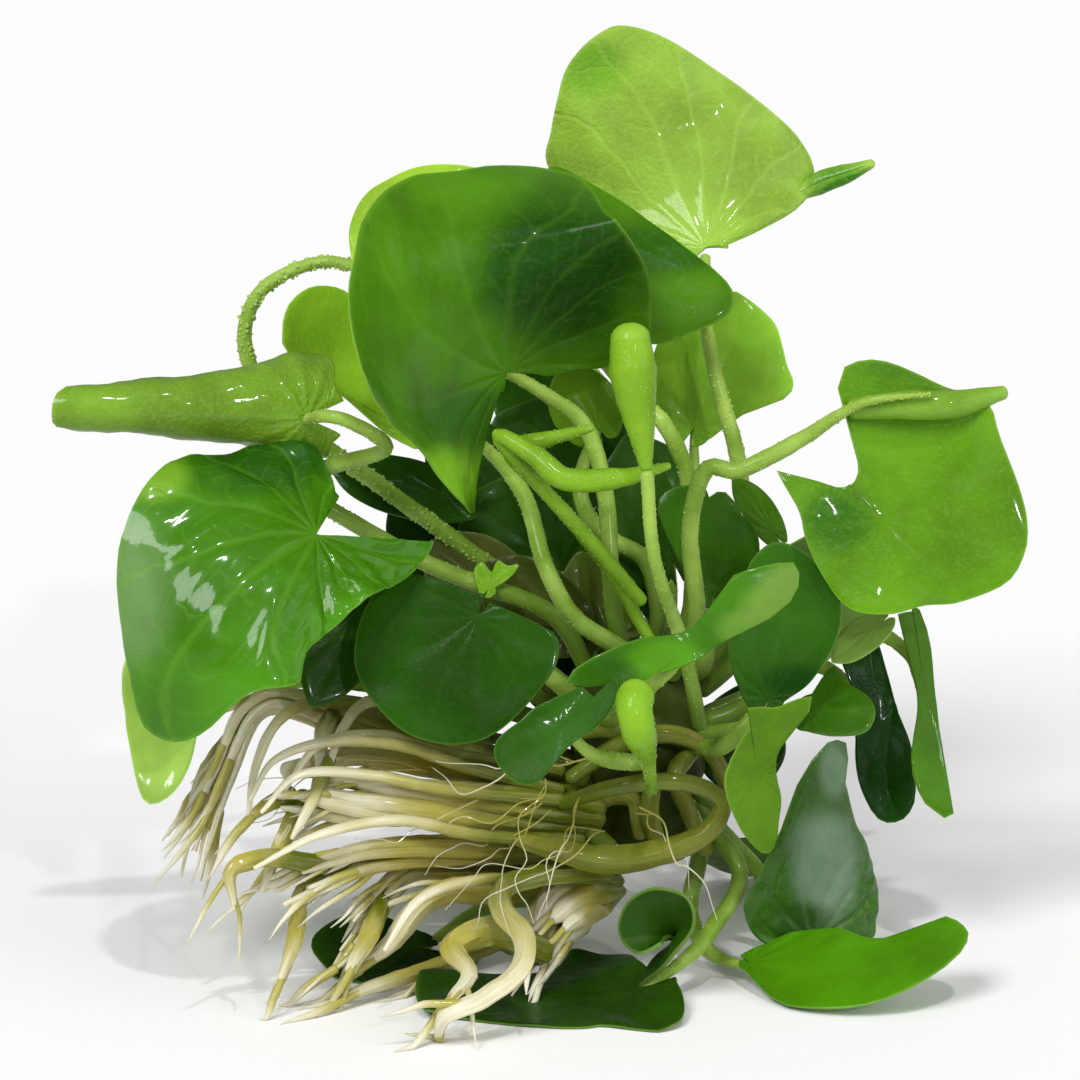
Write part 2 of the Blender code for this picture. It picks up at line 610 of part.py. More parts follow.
    "back_low_left_leaf": dict(
        blade=dict(base=(520, 850, 34), tip=(400, 868, 44), width=24, face=(0, 1, -0.3),
                   rests=True),
        stem=[(600, 800, 18), (560, 820, 26)],
    ),
    "back_low_right_leaf": dict(
        blade=dict(base=(740, 850, 30), tip=(850, 870, 40), width=24, face=(0, 1, -0.3),
                   rests=True),
        stem=[(690, 800, 18)],
    ),
}

# Young leaves still rolled: their route from the crown outwards, and radii in mm along it.
YOUNG_LEAVES = {
    "club_stem": dict(route=[(700, 725, -16), (684, 650, -22), (655, 560, -31), (647, 475, -34)],
                      radii=(1.0, 1.0, 0.9, 0.9)),
    "club_leaf": dict(route=[(646, 466, -34), (641, 430, -34), (634, 380, -34), (630, 338, -34)],
                      radii=(0.9, 1.8, 2.6, 3.2, 2.6)),
    "long_bud": dict(route=[(640, 600, -14), (590, 540, -20), (500, 440, -26), (535, 456, -28),
                            (565, 479, -29), (620, 478, -29), (668, 466, -28)],
                     radii=(1.0, 1.0, 1.0, 1.0, 1.0, 1.6, 1.5, 0.5)),
    "short_bud": dict(route=[(650, 640, -8), (606, 566, -12), (552, 500, -20), (510, 452, -22),
                             (545, 440, -25), (592, 428, -24)],
                      radii=(0.9, 0.9, 0.9, 0.9, 0.9, 1.3, 0.5)),
    "low_bud": dict(route=[(652, 790, -24), (648, 762, -36), (639, 732, -46), (634, 708, -47),
                           (636, 696, -46)],
                    radii=(0.8, 0.8, 0.9, 1.6, 2.3, 2.5)),
}

# Roots: the main root's route and radii in mm, and the branches that fork from it.
ROOTS = {
    "root_1": dict(
        main=([(592, 812, -8), (500, 808, -13), (400, 803, -17), (340, 798, -18),
               (278, 788, -18)], (3.4, 3.7, 3.5, 2.8, 1.7)),
        branches=[([(305, 797, -17), (278, 850, -19), (262, 890, -20)], (1.3, 1.2, 0.5)),
                  ([(290, 795, -17), (262, 808, -19), (243, 826, -20)], (1.3, 1.0, 0.4))]),
    "root_2": dict(
        main=([(596, 846, -3), (450, 850, -11), (373, 857, -17), (320, 874, -20),
               (258, 902, -22)], (2.8, 2.5, 2.2, 1.8, 0.9)),
        branches=[([(345, 860, -18), (303, 893, -18), (295, 939, -19), (276, 990, -21)],
                   (1.2, 1.2, 1.1, 0.4)),
                  ([(320, 866, -20), (268, 858, -24), (231, 870, -26), (234, 904, -26)],
                   (1.4, 1.3, 1.2, 0.4))]),
    "root_3": dict(
        main=([(585, 868, 6), (482, 872, -1), (412, 872, -8), (378, 905, -13),
               (352, 943, -16), (318, 967, -17)], (2.6, 2.7, 2.3, 1.7, 1.3, 0.5)),
        branches=[([(381, 902, -13), (370, 935, -17), (350, 970, -18)], (1.4, 1.4, 0.8))]),
    "root_4": dict(
        main=([(568, 770, 4), (450, 745, 2), (350, 720, -2), (262, 702, -5), (222, 774, -7),
               (201, 836, -8), (190, 886, -9)], (3.0, 3.0, 3.4, 2.4, 1.5, 1.2, 0.4)),
        branches=[([(245, 720, -5), (204, 775, -3), (187, 822, -3)], (1.3, 1.1, 0.4)),
                  ([(332, 716, -4), (322, 738, -12), (320, 765, -15)], (1.4, 1.3, 0.7))]),
    "root_5": dict(
        main=([(604, 872, -12), (540, 876, -17), (504, 888, -21), (503, 912, -25),
               (524, 938, -29), (520, 970, -32), (482, 1000, -34), (445, 1017, -34),
               (437, 1044, -29.5)], (1.5, 1.5, 1.5, 1.5, 1.5, 1.4, 1.3, 1.1, 0.4)),
        branches=[]),
    "root_6": dict(
        main=([(612, 886, -1), (576, 900, -7), (556, 926, -12), (534, 962, -16)],
              (2.4, 4.4, 4.0, 2.2)),
        branches=[([(540, 950, -15), (490, 932, -21), (452, 948, -25), (470, 974, -29),
                    (452, 998, -31)], (2.2, 2.2, 2.0, 1.3, 0.7))]),
    "root_7": dict(
        main=([(590, 886, 2), (495, 892, -7), (451, 891, -11), (420, 906, -13),
               (389, 945, -14), (358, 968, -14)], (2.0, 2.0, 1.9, 1.8, 1.5, 0.6)),
        branches=[]),
    "runner": dict(
        main=([(562, 804, -14), (610, 789, -19), (662, 782, -20), (700, 787, -19),
               (722, 804, -18), (708, 832, -18), (664, 852, -18), (610, 860, -18),
               (560, 850, -19), (514, 838, -17)],
              (0.8, 1.1, 1.2, 1.2, 1.3, 1.6, 1.8, 1.9, 1.6, 0.8)),
        branches=[]),
    "root_8": dict(
        main=([(578, 905, 8), (480, 950, 0), (430, 968, -8), (357, 992, -16),
               (318, 1016, -20)], (1.2, 1.2, 1.2, 1.0, 0.5)),
        branches=[]),
    "root_9": dict(
        main=([(580, 780, -5), (445, 767, -9), (357, 755, -9), (287, 770, -12)],
              (1.8, 1.8, 1.6, 1.2)),
        branches=[]),
}

# Colour and roughness of each kind of piece.
LEAF = ((0.10, 0.30, 0.02), 0.3)
STEM = ((0.35, 0.50, 0.12), 0.4)
ROOT = ((0.45, 0.38, 0.14), 0.5)
CROWN = ((0.30, 0.30, 0.08), 0.6)
SHARP_ANGLE = math.radians(50)


def remove_everything():
    for thing in list(bpy.data.objects):
        bpy.data.objects.remove(thing)


def material_of(name, look):
    colour, roughness = look
    material = bpy.data.materials.new(name)
    material.use_nodes = True
    shader = material.node_tree.nodes["Principled BSDF"]
    shader.inputs["Base Color"].default_value = (*colour, 1)
    shader.inputs["Roughness"].default_value = roughness
    shader.inputs["Metallic"].default_value = 0
    return material


def make_object(name, shape, look):
    vertices, faces = shape
    mesh = bpy.data.meshes.new(name)
    mesh.from_pydata([tuple(v) for v in vertices], [], faces)
    mesh.shade_smooth()
    mesh.set_sharp_from_angle(angle=SHARP_ANGLE)
    mesh.materials.append(material_of(name, look))
    thing = bpy.data.objects.new(name, mesh)
    bpy.context.scene.collection.objects.link(thing)
    return thing


def fuse(thing, shape):
    """Join another closed shape to the object."""
    vertices, faces = shape
    mesh = bpy.data.meshes.new(thing.name + "_added")
    mesh.from_pydata([tuple(v) for v in vertices], [], faces)
    other = bpy.data.objects.new(thing.name + "_added", mesh)
    bpy.context.scene.collection.objects.link(other)
    other.hide_render = True
    other.display_type = "WIRE"
    union = thing.modifiers.new("fused", "BOOLEAN")
    union.operation = "UNION"
    union.solver = "EXACT"
    union.object = other


def stem_route(blade, places):
    """The stem's points from the crown to the blade's middle, and the blade's upward way there."""
    between = [spot(place) for place in places]
    base = blade.place(np.array([0.0]), np.array([0.0]))[0]
    up = blade.upward(np.array([0.0]), np.array([0.0]))[0]
    return [crown_exit(between[0], STEM_RADII[0] * MM), *between, base], up


def make_leaf(name, blade, stem, rolls=(), end=None):
    """A blade, with any rolled part of its edge, and its stem, which ends just under it."""
    blade = Blade(**blade)
    route, up = stem_route(blade, stem)
    if end is None:
        base = route.pop()
        route += [base - up * STEM_APPROACH, base - up * (BLADE_THICKNESS / 2 + STEM_GAP)]
    else:
        route[-1] = spot(end)
    thing = make_object(name + "_blade", blade_shape(blade), LEAF)
    for places, radii in rolls:
        fuse(thing, tube_shape([spot(place) for place in places], radii))
    make_object(name + "_stem", tube_shape(route, STEM_RADII), STEM)


def make_close_leaf(name, blade, stem, curl=None):
    """A blade and its stem as one piece, with a lobe rolled into a cone where it has one."""
    blade = Blade(**blade)
    route, _ = stem_route(blade, stem)
    thing = make_object(name, blade_shape(blade), LEAF)
    fuse(thing, tube_shape(route, STEM_RADII, CLOSE_SIDES, CLOSE_SPACING))
    if curl:
        fuse(thing, curl_shape(*curl))


def root_shape(places, radii):
    return tube_shape([spot(place) for place in places], radii, ROOT_SIDES)


def main():
    remove_everything()
    make_object("crown", crown_shape(), CROWN)
    for name, leaf in LEAVES.items():
        make_leaf(name, **leaf)
    for name, leaf in CLOSE_LEAVES.items():
        make_close_leaf(name, **leaf)
    for name, young in YOUNG_LEAVES.items():
        route = [spot(place) for place in young["route"]]
        make_object(name, tube_shape(route, young["radii"]), STEM)
    for name, root in ROOTS.items():
        thing = make_object(name, root_shape(*root["main"]), ROOT)
        for branch in root["branches"]:
            fuse(thing, root_shape(*branch))


main()
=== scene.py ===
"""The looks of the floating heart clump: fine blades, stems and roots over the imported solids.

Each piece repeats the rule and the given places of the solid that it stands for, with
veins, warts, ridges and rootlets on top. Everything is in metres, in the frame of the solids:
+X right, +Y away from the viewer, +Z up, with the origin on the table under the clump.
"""

import math

import bpy
import mathutils
import numpy as np
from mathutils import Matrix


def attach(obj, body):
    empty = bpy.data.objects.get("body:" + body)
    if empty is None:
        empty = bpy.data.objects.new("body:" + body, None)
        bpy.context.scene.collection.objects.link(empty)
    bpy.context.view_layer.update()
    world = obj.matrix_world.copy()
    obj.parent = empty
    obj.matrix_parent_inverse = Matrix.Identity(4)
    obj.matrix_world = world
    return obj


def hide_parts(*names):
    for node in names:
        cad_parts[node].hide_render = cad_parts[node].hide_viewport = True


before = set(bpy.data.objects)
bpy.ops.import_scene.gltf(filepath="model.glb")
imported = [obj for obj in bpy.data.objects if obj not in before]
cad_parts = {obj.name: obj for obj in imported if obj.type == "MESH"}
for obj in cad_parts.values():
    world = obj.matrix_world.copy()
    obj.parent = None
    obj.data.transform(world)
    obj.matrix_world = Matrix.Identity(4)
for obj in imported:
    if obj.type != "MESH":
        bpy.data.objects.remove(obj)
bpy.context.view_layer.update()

MM = 0.001

# A place on the plant is given by how it is seen from in front: column and row in a square
# picture 1080 units wide, and its depth in mm behind the clump's middle.
UNIT = 0.14 * MM
PICTURE_SIDE = 1080
PICTURE_MIDDLE = PICTURE_SIDE / 2
EYE_DISTANCE = 600 * MM
EYE_TILT = math.radians(12)
MIDDLE = np.array([-0.5, 5.9, 59.0]) * MM
RIGHT = np.array([1.0, 0.0, 0.0])
LOOK = np.array([0.0, math.cos(EYE_TILT), -math.sin(EYE_TILT)])
ABOVE = np.array([0.0, math.sin(EYE_TILT), math.cos(EYE_TILT)])

# A blade without an outline of its own is a disc with a notch at the stem, which is set off
# the disc's middle. Its mesh is rings round the stem, crossed by rays.
BLADE_THICKNESS = 0.5 * MM
RIM_SHARE = 0.45
STEM_OFF_MIDDLE = 0.55
LOBE_ROUNDING = 0.35
LOBE_ROUNDING_FROM = math.radians(135)
POINT_HEIGHT = 0.05
POINT_HALF_ANGLE = math.radians(9)
RUFFLES = 5
LARGE_BLADE = 19 * MM
BLADE_RAYS = {"large": 116, "small": 72}
BLADE_RINGS = {"large": 34, "small": 22}
SPINE_STEPS = 48
BEND_STEPS = 16
PROBE = 0.05 * MM
OUTLINE_STEPS = 12
OUTLINE_STRIDE = 4 * MM
OUTLINE_SAMPLES = 240

# A notch narrower than this, in degrees, is all but closed: the stem meets the blade inside it.
CLOSED_NOTCH = 5
CLOSING = 0.1

# Veins: main ones fan out from the stem, side ones leave them, and the skin between is raised.
MAIN_VEINS = 11
SIDE_VEINS = 6
SIDE_LEAN = 1.6
SIDE_VEIN_SHARE = 0.55
VEIN_WIDTH = 0.6 * MM
VEIN_DEPTH = 0.10 * MM
VEIN_WANDER = 0.06
VEIN_BENDS = 7
VEIN_TURNS = 3
QUILT = 0.22 * MM
REMNANT_QUILT = 0.8
RIM_FADE = 6

# Pleats run out from the stem. Over them the skin is wavy and finely crinkled, and the edge
# isn't even. A length without a unit is a share of the blade.
PLEATS = 17
PLEAT_WANDER = 1.6
PLEAT_LENGTH = 0.6
PLEAT_GAPS = 0.5
PLEAT_FULL = 1.3
SKIN_WAVE = 0.35 * MM
SKIN_WAVE_LENGTH = 11 * MM
CRINKLE = 0.09 * MM
CRINKLE_LENGTH = 4 * MM
EDGE_WAVE = 0.012
EDGE_WAVE_LENGTH = 0.7

# A lobe rolled into a cone.
CURL_RAYS = 60
CURL_RINGS = 12
CURL_BELLY = 0.8 * MM
CURL_WAVE_LENGTH = 5 * MM
CURL_VEINS = 1.5

# Tubes: stems, buds and roots. Young leaves have their rings closer together.
TUBE_SIDES = 14
RING_SPACING = 1.0 * MM
YOUNG_SKIN = dict(ridges=2, ridge=0.03, twist=0.6, rough=0.04, spacing=0.7 * MM)
LENGTH_SAMPLES = 80
SPAN_SAMPLES = 24
FEWEST_RINGS = 6
NEARLY_UPRIGHT = 0.9
CAP_RINGS = 4
CAP_FROM = 0.3
CAP_FLATTENING = 0.8
TUBE_WAVE_LENGTH = 2.5 * MM
SHARP_ANGLE = math.radians(50)

# Waves: a sum of this many, their lengths within these shares of the wanted one, and the sum's
# usual size.
WAVE_COUNT = 5
WAVE_PACES = (0.6, 1.4)
WAVE_SIZE = 1.4

# The crown: a short upright rhizome, lumpy where old stems broke off.
CROWN_PLACE = (640, 745, 2)
CROWN_HALF_SIZE = np.array([9.0, 9.0, 15.0]) * MM
CROWN_RINGS = 9
CROWN_LUMP = 0.05
CROWN_LUMPS = 3
CROWN_LUMP_TURN = 2.4
CROWN_SCAR = 0.5 * MM
CROWN_SCAR_LENGTH = 4 * MM
CROWN_ROWS = 58
CROWN_COLUMNS = 90
GAP = 0.35 * MM

# Stems: radii in mm from the crown to the blade, which a stem meets from STEM_UNDER below.
STEM_RADII = (1.5, 1.4, 1.3, 0.9)
STEM_SLIM = 0.87
STEM_UNDER = 0.9 * MM
STEM_ROUGH = 0.05
CLOSE_STEM_TAPER = 0.7
END_SHARE = 0.3

# Warts: domes whose lower and upper rings are so wide and so high, as shares of their height.
# Spacings and sizes are in mm, and big warts begin further up a stem.
WART_SIDES = 5
WART_RINGS = ((0.8, 0.0), (0.55, 0.7))
WART_SEAT = 0.93
WART_HEIGHTS = (0.7, 1.3)
WARTS = dict(spacing=0.8, size=0.14)
BIG_WART_SPACING = 1.0
BIG_WART_SIZE = 0.34
WARTS_FROM = 0.12
BIG_WARTS_FROM = 0.2

# Roots: one with a radius over THICK_ROOT mm is strands twisted round each other. STRAND_SHARE and
# STRAND_OFF_MIDDLE are shares of its radius. Each strand has its own turn in radians, its share of
# the length and its share of FAN, which is how many mm the strands splay at the tip.
THICK_ROOT = 2.0
STRANDS = 7
STRAND_SHARE = 0.46
STRAND_OFF_MIDDLE = 0.55
STRAND_TIP = 0.3
STRAND_POINTS = 7
STRAND_STEP = 4
STRAND_TWIST = 2.2
STRAND_TURNS = (-0.3, 0.3)
STRAND_LENGTHS = (0.86, 1.0)
STRAND_SPLAYS = (0.3, 1.0)
FAN = 2.2
ROOT_SKIN = dict(ridges=5, ridge=0.09, twist=0.8, rough=0.06)
STRAND_SKIN = {**ROOT_SKIN, "ridges": 4}
FINE_ROOT_SKIN = dict(ridges=3, ridge=0.08, twist=0.8, rough=0.06)

# Rootlets: how many a root or a strand has, from and to which share of its length, their length
# and radius in mm, and the way they lean, droop and wander.
ROOTLETS_OF_ROOT = (5, 0.5)
ROOTLETS_OF_STRAND = (2, 0.7)
ROOTLETS_TO = 0.98
ROOTLET_LENGTH = (6, 14)
ROOTLET_RADIUS = 0.62
ROOTLET_RADII = (0.5, 1.15)
ROOTLET_TAPER = np.array([1, 1, 0.9, 0.6])
ROOTLET_TIP = 0.08
ROOTLET_SEAT = 0.3
ROOTLET_LEAN = 0.15
ROOTLET_DROOP = np.array([-0.6, 0.0, -0.8]) * 0.25
ROOTLET_WANDER = 0.12
ROOTLET_STEPS = 4
ROOTLET_SIDES = 8
ROOTLET_ROUGH = 0.08

# Hair roots: threads that wander round their line of places, sizes in mm.
HAIRS_EACH = 2
HAIR_POINTS = 9
HAIR_DRIFT = 0.64 * MM
HAIR_KINK = 0.5 * MM
HAIR_START = 0.4 * MM
HAIR_RADII = (0.07, 0.14)
HAIR_TIP = 0.05
HAIR_SIDES = 5
HAIR_SPACING = 0.8 * MM

# Where the random draws of each kind of piece start, and how far apart the pieces' draws are.
SEED_STEP = 3
ROOT_SEED = 1000
ROOT_SEED_STEP = 7
BRANCH_SEED = 20
ROOTLET_SEED = 40
ROOTLET_SEED_STEP = 30
REMNANT_SEED = 700
FINE_ROOT_SEED = 800
HAIR_SEED = 900

# Leaves with a stem of their own in sight: a blade, and a stem that is a node apart, from the
# crown outwards. ends replaces the place where the stem would meet the blade.
LEAVES = {
    "top": dict(
        blade=dict(base=(706, 248, 8), via=(656, 142, 12), tip=(606, 36, 8), width=40, face=(0, 0, -1),
            left=(35, 30), right=(25, 20), ruffle=0.8, notch=70, outline=[(728, 243), (757, 229),
            (800, 205), (816, 174), (795, 139), (757, 103), (710, 65), (658, 37), (622, 28), (601, 34),
            (580, 48), (562, 75), (551, 130), (547, 165), (580, 215), (640, 245), (685, 262)]),
        rolls=[([(792, 197, 14.5), (822, 182, 14.5), (848, 173, 13.5), (871, 164, 12.5)],
            (0.9, 1.7, 1.5, 0.7))],
        stem=[(742, 620, 8), (741, 480, 6), (718, 385, 6), (704, 312, 7)],
        ends=[(705, 258, 7.5)]),
    "hood": dict(
        blade=dict(base=(506, 372, -14), via=(456, 268, -27), tip=(446, 170, -18), width=46,
            face=(0.2, 0, 1), left=(60, 40), right=(40, 30), ruffle=0.8, notch=35, outline=[(530, 380),
            (560, 370), (606, 366), (645, 340), (651, 305), (645, 265), (622, 225), (592, 183),
            (550, 163), (508, 161), (457, 170), (410, 179), (372, 202), (357, 250), (356, 305),
            (366, 362), (385, 405), (415, 440), (436, 474), (452, 500), (464, 513), (476, 510),
            (482, 494), (500, 392)]),
        stem=[(612, 600, -6), (606, 500, -5), (586, 428, -5), (548, 396, -7)]),
    "arched": dict(
        blade=dict(base=(370, 268, 0), tip=(500, 190, 4), width=26, face=(-0.2, 0.3, 1),
            outline=[(352, 262), (349, 235), (356, 210), (368, 192), (385, 181), (405, 172), (430, 167),
            (470, 168), (500, 175), (510, 200), (480, 265), (440, 290), (400, 300), (365, 300),
            (354, 288)]),
        stem=[(548, 610, 4), (400, 500, 6), (280, 410, 5), (245, 345, 4), (262, 290, 3), (320, 262, 4)]),
    "rolled": dict(
        blade=dict(base=(306, 418, -22), via=(186, 416, -26), tip=(64, 414, -28), width=29,
            face=(0.1, 0.3, -1), left=(118, 290), right=(118, 290), notch=25, cut=[(-4, 4), (-4, 10),
            (2, 13.5), (10, 12.5), (20, 10.5), (28, 8), (32, 5), (34, 2.2), (34, -2.2), (32, -5),
            (28, -8), (20, -10.5), (10, -12.5), (2, -13.5), (-4, -10), (-4, -4)]),
        stem=[(548, 612, -7), (430, 565, -7), (335, 512, -9), (292, 484, -10), (332, 466, -17),
            (386, 448, -25), (354, 424, -30), (326, 416, -30)]),
    "right": dict(
        blade=dict(base=(885, 520, -20), tip=(965, 600, -20), width=38, face=(0, 0.1, 1), left=(10, 10),
            right=(-10, -10), ruffle=0.8, notch=4, outline=[(854, 482), (858, 470), (856, 448),
            (850, 430), (844, 412), (837, 385), (842, 368), (856, 361), (880, 361), (915, 373),
            (950, 388), (988, 400), (1001, 435), (1022, 497), (1028, 527), (1025, 553), (1006, 582),
            (960, 602), (924, 606), (889, 615), (851, 610), (827, 584), (805, 538), (796, 506),
            (776, 463), (806, 477), (832, 486), (847, 487)]),
        rolls=[([(856, 408, -21), (900, 405, -22.3), (955, 404, -22.3), (1002, 393, -20.8)],
            (1.6, 2.0, 2.0, 1.0))],
        stem=[(696, 620, -12), (690, 530, -14), (706, 470, -16), (740, 470, -17), (800, 440, -19)],
        ends=[(844, 412, -22), (874, 400, -24.6), (930, 394, -25.4)],
        taper=0.3),
}

